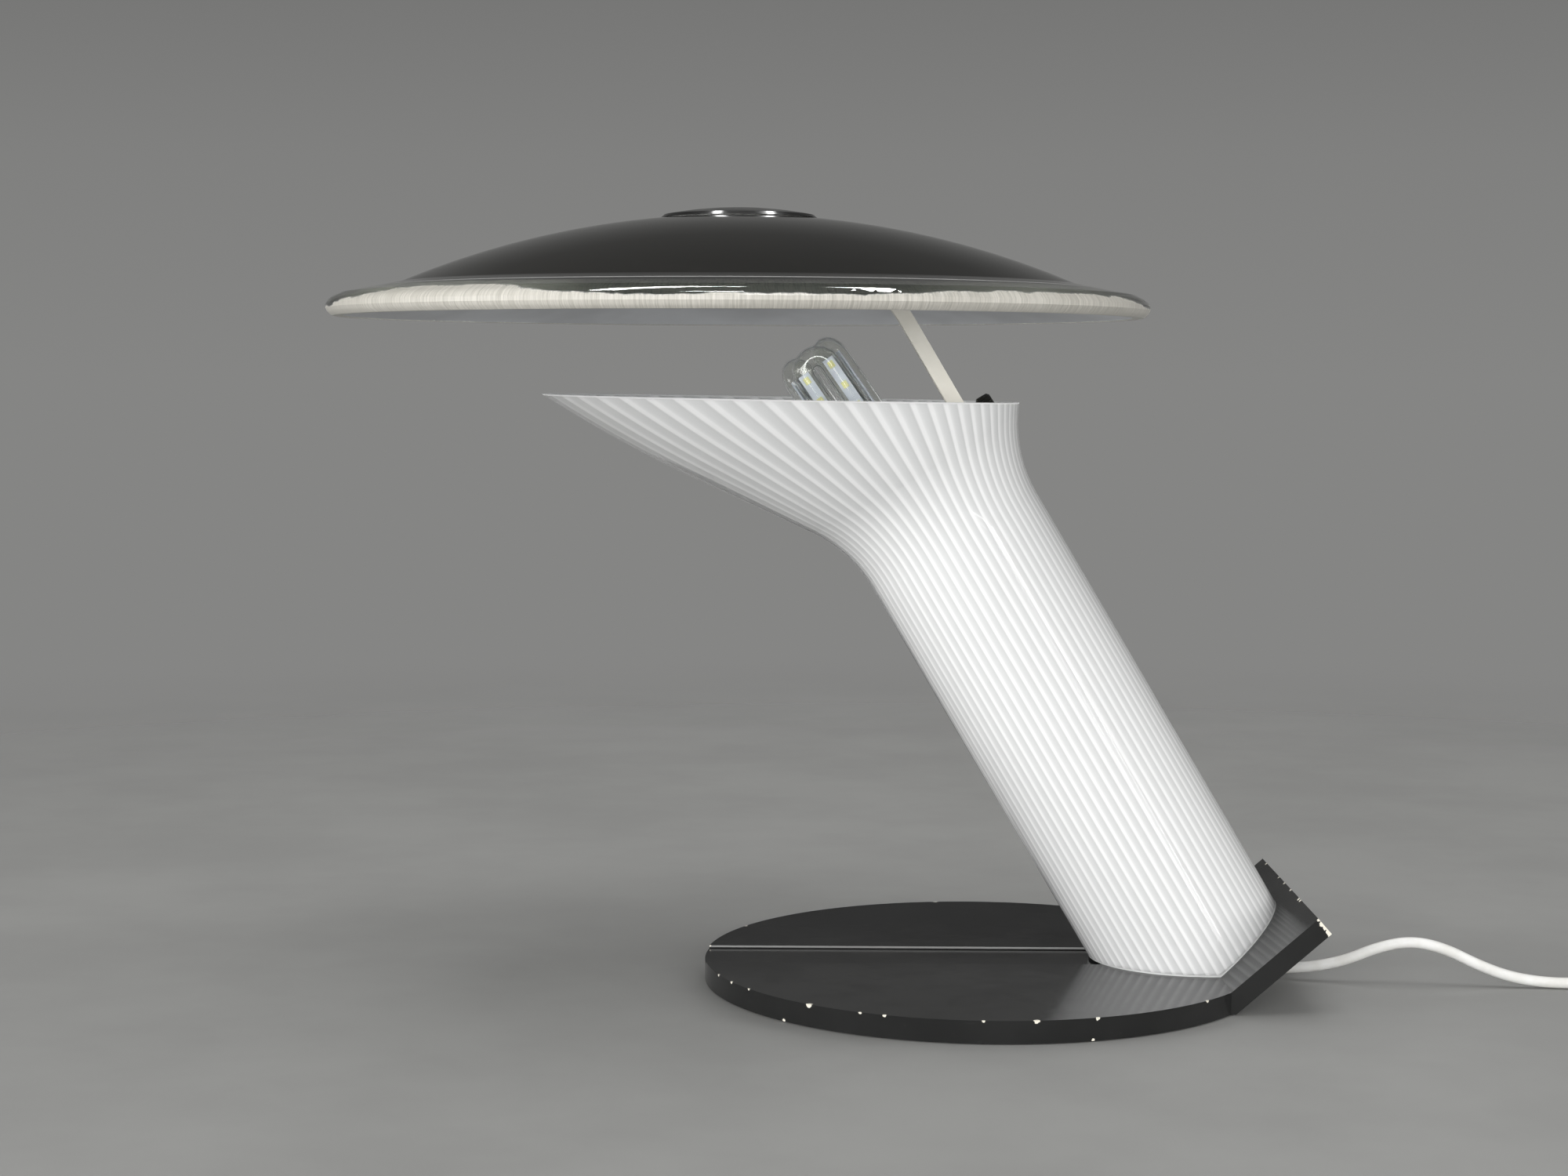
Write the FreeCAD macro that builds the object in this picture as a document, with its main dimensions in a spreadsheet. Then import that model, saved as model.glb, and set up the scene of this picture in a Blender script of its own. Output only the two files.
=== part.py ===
"""Glass table lamp: a leaning striped glass column that flares to an open mouth, on a folded black plate,
under a wide glass shade carried by a bent bar. Millimetres. +Z up, +X towards the fold of the plate, the
front towards -Y. The origin is on the table, under the middle of the round part of the plate."""

import FreeCAD
import Part
import math
import os

import Sketcher

Vector = FreeCAD.Vector

SIZES = {
    # base plate: a disc with a straight raised flange beyond the fold
    "disc_radius": 137.7,
    "disc_thickness": 10.5,
    "felt_thickness": 0.5,
    "felt_inset": 5,
    "felt_end": 76,
    "fold_x": 112.6,
    "flange_tilt": 41.2,
    "flange_length": 53.5,
    "flange_thickness": 9.5,
    "channel_width": 39,
    "channel_depth": 1.4,
    "channel_end": 70,
    # glass column: a leaning tube that flares, cut by the plate below and by the rim plane above
    "lean": 30.7,
    "axis_x": 108.2,
    "column_radius": 46.8,
    "column_wall": 3.5,
    "flare_start": 241.5,
    "flare_bend": 68,
    "flare_angle": 34.5,
    "flare_straight": 62,
    "flare_curl": 640,
    "flare_curl_angle": 9,
    "rim_height": 288.0,
    "rim_middle_x": -98,
    "rim_fall": 0.84,
    "gasket_thickness": 0.8,
    # foot bracket, stem and the screws that hold them
    "bracket_thickness": 3,
    "bracket_half_width": 20,
    "bracket_left": 20,
    "bracket_right": 14,
    "boss_radius": 8,
    "boss_height": 14,
    "stem_radius": 5,
    "stem_bore": 4,
    "stem_seat": 6,
    "stem_bend": 131,
    "stem_bend_radius": 200,
    "stem_nut_across": 17,
    "stem_nut_height": 5,
    "stem_nut_gap": 0.1,
    "screw_radius": 2.5,
    "screw_length": 8,
    "screw_head_radius": 4.4,
    "screw_head_height": 2.8,
    "slot_width": 1,
    "screw_hole_over": 1,
    "screw_clearance": 0.3,
    "screw_gap": 0.05,
    "screw_side": 14,
    "disc_screw_back": 14,
    "flange_screw_out": 8,
    # lampholder, measured up from its neck, which is so far past the stem's bend
    "holder_start": 41,
    "holder_seat": 12,
    "holder_neck_radius": 7,
    "holder_radius": 17,
    "holder_wall": 2,
    "holder_floor": 1.4,
    "holder_neck_fall": 2,
    "holder_shoulder": 18,
    "holder_cap_top": 32,
    "insert_bottom": 20,
    "insert_top": 34,
    "insert_radius": 14.4,
    "insert_foot": 1.5,
    "terminal_radius": 1.6,
    "terminal_side": 8,
    "terminal_up": 6,
    "skirt_radius": 19,
    "skirt_inner": 15.4,
    "skirt_top": 64,
    "skirt_gap": 0.1,
    "skirt_side_gap": 0.4,
    "skirt_lip": 3,
    "skirt_shoulder": 5,
    "skirt_edge_height": 2,
    "skirt_edge_width": 1,
    "thread_radius": 14.2,
    "thread_wall": 0.5,
    "thread_top": 60,
    "contact_width": 6,
    "contact_height": 2,
    "contact_thickness": 0.6,
    # bulb: a screw cap, a ballast housing and three U-shaped tubes with strips of small chips
    "bulb_tilt": 4.2,
    "bulb_radius": 13.2,
    "bulb_cap_bottom": 38.5,
    "bulb_cap_top": 63,
    "bulb_tip_radius": 5,
    "bulb_tip_height": 1.8,
    "bulb_cap_inset": 3,
    "bulb_cap_step": 1,
    "bulb_cap_shoulder": 4,
    "bulb_neck_inset": 1,
    "ballast_bottom": 64.5,
    "ballast_middle": 78,
    "ballast_top": 94,
    "ballast_low_radius": 14.5,
    "ballast_radius": 20.5,
    "ballast_edge": 2,
    "tube_radius": 5.2,
    "tube_wall": 0.8,
    "tube_half_gap": 7.1,
    "tube_setback": 10.4,
    "tube_sunk": 4,
    "socket_gap": 0.1,
    "tubes_top": 188,
    "strip_width": 5.7,
    "strip_thickness": 1,
    "strip_over": 2.4,
    "strip_fall": 3,
    "chip_long": 3.5,
    "chip_wide": 2.8,
    "chip_high": 0.7,
    "chip_step": 11.8,
    "chip_margin": 1.7,
    "chips_on_strip": 7,
    # bars that carry the shade, in the column's own directions
    "arm_offset": 34.2,
    "arm_thickness": 7.3,
    "arm_width": 14,
    "arm_low": 214,
    "arm_bend": 78,
    "arm_height": 364,
    "arm_overhang": 11,
    "arm_reach": 15.478,
    "slot_low": 262,
    "slot_high": 318,
    "bar_thickness": 3.5,
    "bar_width": 14,
    "bar_top": 294,
    "bar_foot_start": 20,
    "bar_gap": 0.1,
    "bar_screw_first": 24.5,
    "bar_screw_second": 32.5,
    "bar_screw_radius": 2,
    "bar_screw_head_radius": 3.4,
    "bar_screw_head_height": 2.2,
    "guide_low": 272,
    "guide_wall": 1.5,
    "guide_reach": 9,
    "guide_gap": 0.05,
    "clamp_height": 290.3,
    "clamp_radius": 2.5,
    "clamp_gap": 0.15,
    "knob_radius": 5.5,
    "knob_length": 7.5,
    "knob_chamfer": 1.1,
    "knob_flutes": 20,
    "knob_flute_radius": 0.55,
    "knob_gap": 0.15,
    "clamp_over": 1.5,
    "clamp_nut_side": 9,
    "clamp_nut_thickness": 4,
    # shade: a domed black glass with a clear thick rim, on a spindle through the arm
    "shade_radius": 200,
    "dome_radius": 420,
    "dome_wall": 5,
    "rim_width": 35,
    "rim_slope": 11,
    "rim_wall": 8,
    "rim_wall_step": 2,
    "rim_shoulder_inset": 7,
    "rim_shoulder_out": 3.2,
    "rim_shoulder_fall": 1.6,
    "rim_edge_fall": 5.19,
    "rim_edge_flat": 2,
    "rim_edge_round": 7,
    "rim_foot_fall": 10.79,
    "rim_foot_inset": 3.5,
    "rim_foot_width": 4,
    "rim_foot_round": 6,
    "shade_hole": 6.4,
    "spindle_radius": 4,
    "spindle_gap": 0.1,
    "spindle_below": 9,
    "spindle_above": 2,
    "seat_radius": 24,
    "seat_thickness": 2,
    "seat_gap": 0.1,
    "seat_gasket_thickness": 2.25,
    "bush_wall": 0.9,
    "bush_gap": 0.1,
    "nut_across": 13,
    "nut_height": 6.5,
    # the shade's cap and the ring under it, with heights measured from the top of the glass
    "shade_cap_radius": 38.4,
    "shade_cap_inset": 1.8,
    "shade_cap_edge": -1.3,
    "shade_cap_shoulder": 0.2,
    "shade_cap_top": 3.7,
    "shade_cap_skin": 1.4,
    "ring_outer": 35.5,
    "ring_inner": 30,
    "ring_top": -0.1,
    "ring_height": 3,
    "ring_gap": 0.5,
    # mains cord, its exit under the fold, the rocker switch on it and the plug
    "cord_radius": 2.7,
    "cord_height": 5.2,
    "cord_gap": 0.15,
    "cord_way_gap": 0.1,
    "groove_before": 4,
    "lead_x": 86,
    "lead_hole_radius": 5.2,
    "lead_joint_gap": 0.6,
    "lead_way_gap": 0.5,
    "lead_top": 150,
    "lead_end_offset": -13.2,
    "lead_end": 189,
    "groove_end": 106,
    "groove_half_width": 3.4,
    "bush_start": 108,
    "bush_collar": 126,
    "bush_collar_length": 3,
    "bush_collar_radius": 4.4,
    "bush_tip_radius": 3.3,
    "bush_fit_gap": 0.1,
    "bush_bore_gap": 0.02,
    "bush_step": 0.6,
    "cord_exit": 146,
    "clamp_plate_x": 98,
    "clamp_plate_length": 9,
    "clamp_plate_width": 24,
    "clamp_plate_thickness": 1,
    "clamp_plate_gap": 0.1,
    "clamp_hole_gap": 0.2,
    "recess_gap": 0.2,
    "clamp_screw_side": 8.5,
    "clamp_screw_radius": 1.5,
    "clamp_screw_length": 6,
    "switch_x": 348,
    "switch_y": -24,
    "switch_heading": -5,
    "switch_length": 60,
    "switch_width": 23,
    "switch_base_height": 8,
    "switch_height": 17,
    "switch_wall": 1.8,
    "switch_corner": 5,
    "switch_axis_height": 7.6,
    "rocker_length": 19,
    "rocker_width": 11,
    "rocker_gap": 0.7,
    "rocker_pivot": 13.5,
    "rocker_pin": 1.2,
    "rocker_tilt": 7,
    "rocker_corner": 1,
    "rocker_proud": 0.6,
    "rocker_below": 3,
    "rocker_pin_out": 2.4,
    "rocker_pin_gap": 0.05,
    "core_gap": 0.1,
    "core_over": 8,
    "core_width": 8,
    "core_fall": 5.5,
    "post_length": 5,
    "post_wall": 1.6,
    "post_gap": 0.9,
    "bridge_height": 2,
    "coil_x": 363.5,
    "coil_y": -90,
    "coil_radius": 42.5,
    "coil_pitch": 5.9,
    "coil_turns": 7,
    "coil_climb": 0.5,
    "plug_x": 404.4,
    "plug_y": -131,
    "plug_heading": -94.45,
    "plug_length": 36,
    "plug_width": 35,
    "plug_neck_width": 15,
    "plug_thickness": 13.7,
    "plug_relief": 17,
    "plug_relief_wall": 1,
    "plug_step": 1.2,
    "plug_overlap": 2,
    "plug_shoulder": 8,
    "plug_corner": 3,
    "pin_radius": 2,
    "pin_length": 19,
    "pin_spacing": 18.6,
    "pin_root": 8,
    "pin_tip": 2,
}

# Free cord: corners of its routes, chosen by hand, as x, y and height of the cord's middle.
LEAD_ROUTE = [
    (146, 0, 5.2),
    (155, -1.6, 5.9),
    (167, -4.6, 7.6),
    (181, -8, 11.6),
    (195, -10.6, 18.4),
    (211, -12.8, 22.2),
    (227, -14.4, 19.0),
    (243, -15.6, 11.2),
    (258, -16.6, 5.6),
    (274, -17.6, 3.0),
    (290, -19, 2.75),
    (304, -20.2, 4.6),
    (318.11, -21.38, 7.6),
]
LINK_ROUTE = [
    (377.89, -26.62, 7.6),
    (387, -27.4, 6.4),
    (397, -31.6, 4.0),
    (403.8, -40.6, 2.9),
    (406, -53, 2.7),
    (406, -84.6, 2.7),
]
TAIL_ROUTE = [
    (406, -95.4, 8.6),
    (406, -104, 8.6),
    (405.7, -113, 7.6),
    (405.1, -122, 6.85),
    (404.4, -131, 6.85),
]

doc = FreeCAD.newDocument("glass_table_lamp")
sheet = doc.addObject("Spreadsheet::Sheet", "dims")
for row, (alias, number) in enumerate(SIZES.items(), start=1):
    sheet.set("A%d" % row, alias)
    sheet.set("B%d" % row, str(number))
    sheet.setAlias("B%d" % row, alias)
doc.recompute()

parts = []


def size(expression):
    """The number that an expression over the sheet's cells comes to."""
    return float(sheet.evalExpression(expression))


def keep(thing, label):
    """Names a finished sub-part: its label is the name of its file."""
    thing.Label = label
    parts.append(thing)
    return thing


def placement(at=("0", "0", "0"), turn=("0", "1", "0", "0")):
    """Text of a placement: a point, then an axis and an angle."""
    return (
        "create(<<placement>>; create(<<vector>>; %s; %s; %s); "
        "create(<<rotation>>; create(<<vector>>; %s; %s; %s); %s))" % (*at, *turn)
    )


def put(thing, frame=None, at=("0", "0", "0"), turn=("0", "1", "0", "0")):
    """Places an object in the part's frame or in one of the named frames."""
    text = placement(at, turn)
    if frame:
        text = "%s.Placement * %s" % (frame, text)
    thing.setExpression("Placement", text)
    return thing


def frame(name, parent=None, at=("0", "0", "0"), turn=("0", "1", "0", "0")):
    """A named frame that sub-parts are placed in."""
    return put(doc.addObject("App::Placement", name), parent, at, turn)


def cylinder(name, radius, height, frame=None, at=("0", "0", "0"), turn=("0", "1", "0", "0")):
    thing = doc.addObject("Part::Cylinder", name)
    thing.setExpression("Radius", radius)
    thing.setExpression("Height", height)
    return put(thing, frame, at, turn)


def cone(name, low, high, height, frame=None, at=("0", "0", "0"), turn=("0", "1", "0", "0")):
    thing = doc.addObject("Part::Cone", name)
    thing.setExpression("Radius1", low)
    thing.setExpression("Radius2", high)
    thing.setExpression("Height", height)
    return put(thing, frame, at, turn)


def box(name, sides, frame=None, at=("0", "0", "0"), turn=("0", "1", "0", "0")):
    """A box whose near lower left corner is at the point."""
    thing = doc.addObject("Part::Box", name)
    for key, side in zip(("Length", "Width", "Height"), sides):
        thing.setExpression(key, side)
    return put(thing, frame, at, turn)


def hexagon(name, across, height, frame=None, at=("0", "0", "0"), turn=("0", "1", "0", "0")):
    """A hexagonal prism, its size given across the flats."""
    thing = doc.addObject("Part::Prism", name)
    thing.Polygon = 6
    thing.setExpression("Circumradius", "(%s) / 2 / cos(30)" % across)
    thing.setExpression("Height", height)
    return put(thing, frame, at, turn)


def cut(name, base, *tools):
    """The base less every tool."""
    for number, tool in enumerate(tools):
        step = doc.addObject("Part::Cut", name if number == len(tools) - 1 else "%s_cut%d" % (name, number))
        step.Base = base
        step.Tool = tool
        base = step
    return base


def fuse(name, *things):
    thing = doc.addObject("Part::MultiFuse", name)
    thing.Shapes = list(things)
    return thing


def common(name, base, tool):
    thing = doc.addObject("Part::Common", name)
    thing.Base = base
    thing.Tool = tool
    return thing


def group(name, *things):
    """Separate solids kept as one sub-part, such as a set of like screws."""
    thing = doc.addObject("Part::Compound", name)
    thing.Links = list(things)
    return thing


def draw(sketch, corners, arcs=None, closed=True):
    """Draws an outline whose corners are tied to expressions. Edge i runs from corner i to the next; arcs
    maps an edge to its radius, positive where the arc's centre is left of the way the outline runs."""
    arcs = arcs or {}
    points = [Vector(size(x), size(y), 0) for x, y in corners]
    count = len(points)
    edge_count = count if closed else count - 1
    for i in range(edge_count):
        start = points[i]
        end = points[(i + 1) % count]
        if i not in arcs:
            sketch.addGeometry(Part.LineSegment(start, end), False)
            continue
        radius = size(arcs[i])
        half = (end - start) * 0.5
        left = Vector(-half.y, half.x, 0).normalize()
        reach = math.sqrt(max(radius * radius - half.Length**2, 0.0)) * (1 if radius > 0 else -1)
        centre = start + half + left * reach
        turned = 1 if radius > 0 else -1
        first = math.atan2(start.y - centre.y, start.x - centre.x)
        last = math.atan2(end.y - centre.y, end.x - centre.x)
        if turned < 0:
            first, last = last, first
        round_edge = Part.Circle(centre, Vector(0, 0, 1), abs(radius))
        sketch.addGeometry(Part.ArcOfCircle(round_edge, first, last), False)

    def ends(i):
        return (2, 1) if i in arcs and size(arcs[i]) < 0 else (1, 2)

    for i in range(count if closed else count - 2):
        following = (i + 1) % count
        meeting = (i, ends(i)[1], following, ends(following)[0])
        sketch.addConstraint(Sketcher.Constraint("Coincident", *meeting))
    for i, (x, y) in enumerate(corners):
        spot = (i, ends(i)[0]) if i < edge_count else (i - 1, ends(i - 1)[1])
        for kind, text in (("DistanceX", x), ("DistanceY", y)):
            number = sketch.addConstraint(Sketcher.Constraint(kind, -1, 1, *spot, size(text)))
            sketch.setExpression("Constraints[%d]" % number, text)
    for i, radius in arcs.items():
        number = sketch.addConstraint(Sketcher.Constraint("Radius", i, abs(size(radius))))
        sketch.setExpression("Constraints[%d]" % number, "abs(%s)" % radius)
    return sketch


def revolved(name, corners, arcs=None, frame=None, at=("0", "0", "0")):
    """A solid of revolution: corners are radius and height, and the axis is the frame's Z."""
    sketch = draw(doc.addObject("Sketcher::SketchObject", name + "_profile"), corners, arcs)
    thing = doc.addObject("Part::Revolution", name)
    thing.Source = sketch
    thing.Axis = Vector(0, 1, 0)
    thing.Base = Vector(0, 0, 0)
    thing.Angle = 360
    thing.Solid = True
    return put(thing, frame, at, ("1", "0", "0", "90"))


def slab(name, corners, arcs, width, frame=None, at=("0", "0", "0")):
    """An upright outline, across and up, given a width along Y and centred on the frame's middle plane."""
    sketch = draw(doc.addObject("Sketcher::SketchObject", name + "_outline"), corners, arcs)
    thing = doc.addObject("Part::Extrusion", name)
    thing.Base = sketch
    thing.DirMode = "Custom"
    thing.Dir = Vector(0, 0, 1)
    thing.Solid = True
    thing.Symmetric = True
    thing.setExpression("LengthFwd", width)
    return put(thing, frame, at, ("1", "0", "0", "90"))


def swept(name, corners, arcs, radius, frame):
    """A round rod along an open path, across and up, that starts straight up the frame's Z."""
    path = draw(doc.addObject("Sketcher::SketchObject", name + "_path"), corners, arcs, False)
    put(path, frame, ("0", "0", "0"), ("1", "0", "0", "90"))
    section = doc.addObject("Sketcher::SketchObject", name + "_section")
    section.addGeometry(Part.Circle(Vector(0, 0, 0), Vector(0, 0, 1), size(radius)), False)
    section.addConstraint(Sketcher.Constraint("Coincident", 0, 3, -1, 1))
    number = section.addConstraint(Sketcher.Constraint("Radius", 0, size(radius)))
    section.setExpression("Constraints[%d]" % number, radius)
    put(section, frame, (corners[0][0], "0", corners[0][1]))
    thing = doc.addObject("Part::Sweep", name)
    thing.Sections = [section]
    thing.Spine = (path, ["Edge%d" % (i + 1) for i in range(len(corners) - 1)])
    thing.Solid = True
    return thing


def body_on_plane(name, frame=None, at=("0", "0", "0"), turn=("0", "1", "0", "0")):
    """A body and a maker of sketches on its own horizontal plane."""
    body = doc.addObject("PartDesign::Body", name)
    put(body, frame, at, turn)
    plane = [o for o in body.Origin.OriginFeatures if o.Role == "XY_Plane"][0]

    def sketch(title, height="0"):
        made = body.newObject("Sketcher::SketchObject", name + "_" + title)
        made.AttachmentSupport = [(plane, "")]
        made.MapMode = "FlatFace"
        made.setExpression("AttachmentOffset", placement(("0", "0", height)))
        return made

    return body, sketch


def circle(sketch, radius, across="0"):
    """A circle on the sketch's first axis, so far from its origin."""
    sketch.addGeometry(Part.Circle(Vector(size(across), 0, 0), Vector(0, 0, 1), size(radius)), False)
    sketch.addConstraint(Sketcher.Constraint("PointOnObject", 0, 3, -1))
    for constraint, text in (
            (Sketcher.Constraint("DistanceX", -1, 1, 0, 3, size(across)), across),
            (Sketcher.Constraint("Radius", 0, size(radius)), radius)):
        number = sketch.addConstraint(constraint)
        sketch.setExpression("Constraints[%d]" % number, text)
    return sketch


def pad(body, sketch, length):
    made = body.newObject("PartDesign::Pad", sketch.Name + "_pad")
    made.Profile = sketch
    made.setExpression("Length", length)
    return made


def pocket(body, sketch, depth, reverse=False):
    """A pocket that cuts down from its sketch, or up where it is reversed."""
    made = body.newObject("PartDesign::Pocket", sketch.Name + "_pocket")
    made.Profile = sketch
    made.Reversed = reverse
    made.setExpression("Length", depth)
    return made


def screw(name, radius, length, head_radius, head_height, frame, at, turn=("0", "1", "0", "0")):
    """A pan-head screw: its head's underside is at the point, and its shank goes down from there."""
    shank = cylinder(name + "_shank", radius, length, frame, at, turn)
    shank_at = (at[0], at[1], "(%s) - (%s)" % (at[2], length))
    put(shank, frame, shank_at, turn)
    head = cylinder(name + "_head", head_radius, head_height, frame, at, turn)
    slot_sides = ("2 * (%s) + dims.slot_width" % head_radius, "dims.slot_width",
                  "0.4 * (%s)" % head_height)
    slot_at = ("(%s) - (%s) - dims.slot_width / 2" % (at[0], head_radius),
               "(%s) - dims.slot_width / 2" % at[1],
               "(%s) + 0.6 * (%s)" % (at[2], head_height))
    slot = box(name + "_slot", slot_sides, frame, slot_at, turn)
    return cut(name, fuse(name + "_blank", shank, head), slot)


def make_frames():
    """Named frames: the leaning column, the bulb on its tilt, the raised flange, the switch and the plug."""
    frame("column_frame", None, ("dims.axis_x", "0", TOP), ("0", "1", "0", "-dims.lean"))
    frame("stem_end_frame", "column_frame", ("0", "0", "dims.stem_bend"), ("0", "1", "0", "-dims.bulb_tilt"))
    frame("bulb_frame", "stem_end_frame", ("0", "0", "dims.holder_start"))
    frame("flange_frame", None, ("dims.fold_x", "0", TOP), ("0", "1", "0", "-dims.flange_tilt"))
    frame("switch_frame", None, ("dims.switch_x", "dims.switch_y", "0"),
          ("0", "0", "1", "dims.switch_heading"))
    frame("rocker_frame", "switch_frame", ("0", "0", "dims.rocker_pivot"),
          ("0", "1", "0", "dims.rocker_tilt"))
    frame("plug_frame", None, ("dims.plug_x", "dims.plug_y", "dims.plug_thickness / 2"),
          ("0", "0", "1", "dims.plug_heading"))


TOP = "(dims.disc_thickness + dims.felt_thickness)"
# the fold's corner below, where the underside of the disc meets the underside of the flange
MITRE_X = (
    "(dims.fold_x + (dims.flange_thickness - dims.disc_thickness * cos(dims.flange_tilt))"
    " / sin(dims.flange_tilt))")
HALF_CHORD = "sqrt(dims.disc_radius^2 - dims.fold_x^2)"
# slope of the flange seen in the column's own directions, and the fold's place there
FLANGE_IN_COLUMN = "(dims.flange_tilt - dims.lean)"
FOLD_ACROSS = "((dims.fold_x - dims.axis_x) * cos(dims.lean))"
FOLD_UP = "(-(dims.fold_x - dims.axis_x) * sin(dims.lean))"


def above_plate(name, gap, top_corners, width="4 * dims.disc_radius"):
    """A slab over the plate: its lower side follows the disc and the flange at a gap above them."""
    far = "3 * dims.flange_length"
    corners = [
        ("-1.5 * dims.disc_radius", "%s + %s" % (TOP, gap)),
        ("dims.fold_x - (%s) * tan(dims.flange_tilt / 2)" % gap, "%s + %s" % (TOP, gap)),
        (
            "dims.fold_x - (%s) * sin(dims.flange_tilt) + %s * cos(dims.flange_tilt)" % (gap, far),
            "%s + (%s) * cos(dims.flange_tilt) + %s * sin(dims.flange_tilt)" % (TOP, gap, far),
        ),
    ] + top_corners
    return slab(name, corners, None, width)


def make_base():
    """Disc, flange, felt and the cord's way out under the fold."""
    disc = cylinder("disc_round", "dims.disc_radius", "dims.disc_thickness", None,
                    ("0", "0", "dims.felt_thickness"))
    end = box("disc_end", ("dims.disc_radius", "2 * dims.disc_radius", "3 * %s" % TOP), None,
              ("dims.fold_x", "-dims.disc_radius", "-%s" % TOP))
    channel = box(
        "disc_channel",
        ("2 * dims.disc_radius", "dims.channel_width", "2 * dims.channel_depth"), None,
        ("dims.channel_end - 2 * dims.disc_radius", "-dims.channel_width / 2",
         "%s - dims.channel_depth" % TOP))
    groove = cord_groove("disc_groove")
    lead_hole = cylinder(
        "lead_hole", "dims.lead_hole_radius", "3 * dims.disc_thickness", "column_frame",
        (LEAD_ACROSS, "0", "-1.5 * dims.disc_thickness"))
    plate_recess = box(
        "clamp_recess",
        ("dims.clamp_plate_length + 2 * dims.recess_gap", "dims.clamp_plate_width + 2 * dims.recess_gap",
         "2 * dims.clamp_plate_thickness + dims.recess_gap"), None,
        ("dims.clamp_plate_x - dims.clamp_plate_length / 2 - dims.recess_gap",
         "-dims.clamp_plate_width / 2 - dims.recess_gap",
         "dims.felt_thickness - dims.clamp_plate_thickness"))
    holes = [
        cylinder("disc_hole_%d" % n, "dims.screw_radius + dims.screw_gap", "dims.screw_length", None,
                 ("dims.fold_x - dims.disc_screw_back", "%d * dims.screw_side" % side,
                  "%s + dims.bracket_thickness - dims.screw_length - dims.screw_hole_over" % TOP))
        for n, side in enumerate((-1, 1))]
    holes += [
        cylinder("clamp_hole_%d" % n, "dims.clamp_screw_radius + dims.screw_gap",
                 "dims.clamp_screw_length + dims.screw_hole_over", None,
                 ("dims.clamp_plate_x", "%d * dims.clamp_screw_side" % side, "dims.felt_thickness"))
        for n, side in enumerate((-1, 1))]
    keep(cut("base_disc", disc, end, channel, groove, lead_hole, plate_recess, *holes), "base_disc")

    end_x = "dims.flange_length * cos(dims.flange_tilt)"
    end_z = "dims.flange_length * sin(dims.flange_tilt)"
    down_x = "dims.flange_thickness * sin(dims.flange_tilt)"
    down_z = "dims.flange_thickness * cos(dims.flange_tilt)"
    flange = slab(
        "flange_plate",
        [("dims.fold_x", TOP), ("dims.fold_x", "dims.felt_thickness"), (MITRE_X, "dims.felt_thickness"),
         ("dims.fold_x + %s + %s" % (end_x, down_x), "%s + %s - %s" % (TOP, end_z, down_z)),
         ("dims.fold_x + %s" % end_x, "%s + %s" % (TOP, end_z))],
        None, "2 * %s" % HALF_CHORD)
    flange_holes = [
        cylinder("flange_hole_%d" % n, "dims.screw_radius + dims.screw_gap", "dims.screw_length",
                 "flange_frame",
                 ("dims.flange_screw_out", "%d * dims.screw_side" % side,
                  "dims.bracket_thickness - dims.screw_length - dims.screw_hole_over"))
        for n, side in enumerate((-1, 1))]
    flange_holes += [
        cylinder("bar_hole_%d" % n, "dims.bar_screw_radius + dims.screw_gap", "dims.screw_length",
                 "flange_frame",
                 (along_flange(across), "0",
                  "dims.bar_thickness - dims.screw_length - 1.5 * dims.screw_hole_over"))
        for n, across in enumerate(("dims.bar_screw_first", "dims.bar_screw_second"))]
    keep(cut("base_flange", flange, cord_groove("flange_groove"), *flange_holes), "base_flange")

    felt = cylinder("felt_round", "dims.disc_radius - dims.felt_inset", "dims.felt_thickness")
    trim = box("felt_trim", ("dims.disc_radius", "3 * dims.disc_radius", "3 * dims.felt_thickness"), None,
               ("dims.felt_end", "-1.5 * dims.disc_radius", "-dims.felt_thickness"))
    keep(cut("base_felt", felt, trim), "base_felt")


def along_flange(across):
    """How far up the flange from the fold a point lies that stands so far from the column's axis."""
    return "((%s) - %s) / cos(%s)" % (across, FOLD_ACROSS, FLANGE_IN_COLUMN)


LEAD_ACROSS = "((dims.lead_x - dims.axis_x) * cos(dims.lean))"
LEAD_DOWN = "(-(dims.lead_x - dims.axis_x) * sin(dims.lean))"


def cord_groove(name):
    """The way of the cord along the underside, from the lead's hole out under the fold."""
    half = "dims.groove_half_width"
    start = "dims.lead_x - dims.groove_before"
    sides = ("dims.bush_collar - (%s)" % start, "2 * %s" % half, "dims.cord_height + 2 * %s" % half)
    return box(name, sides, None, (start, "-%s" % half, "-%s" % half))


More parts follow.
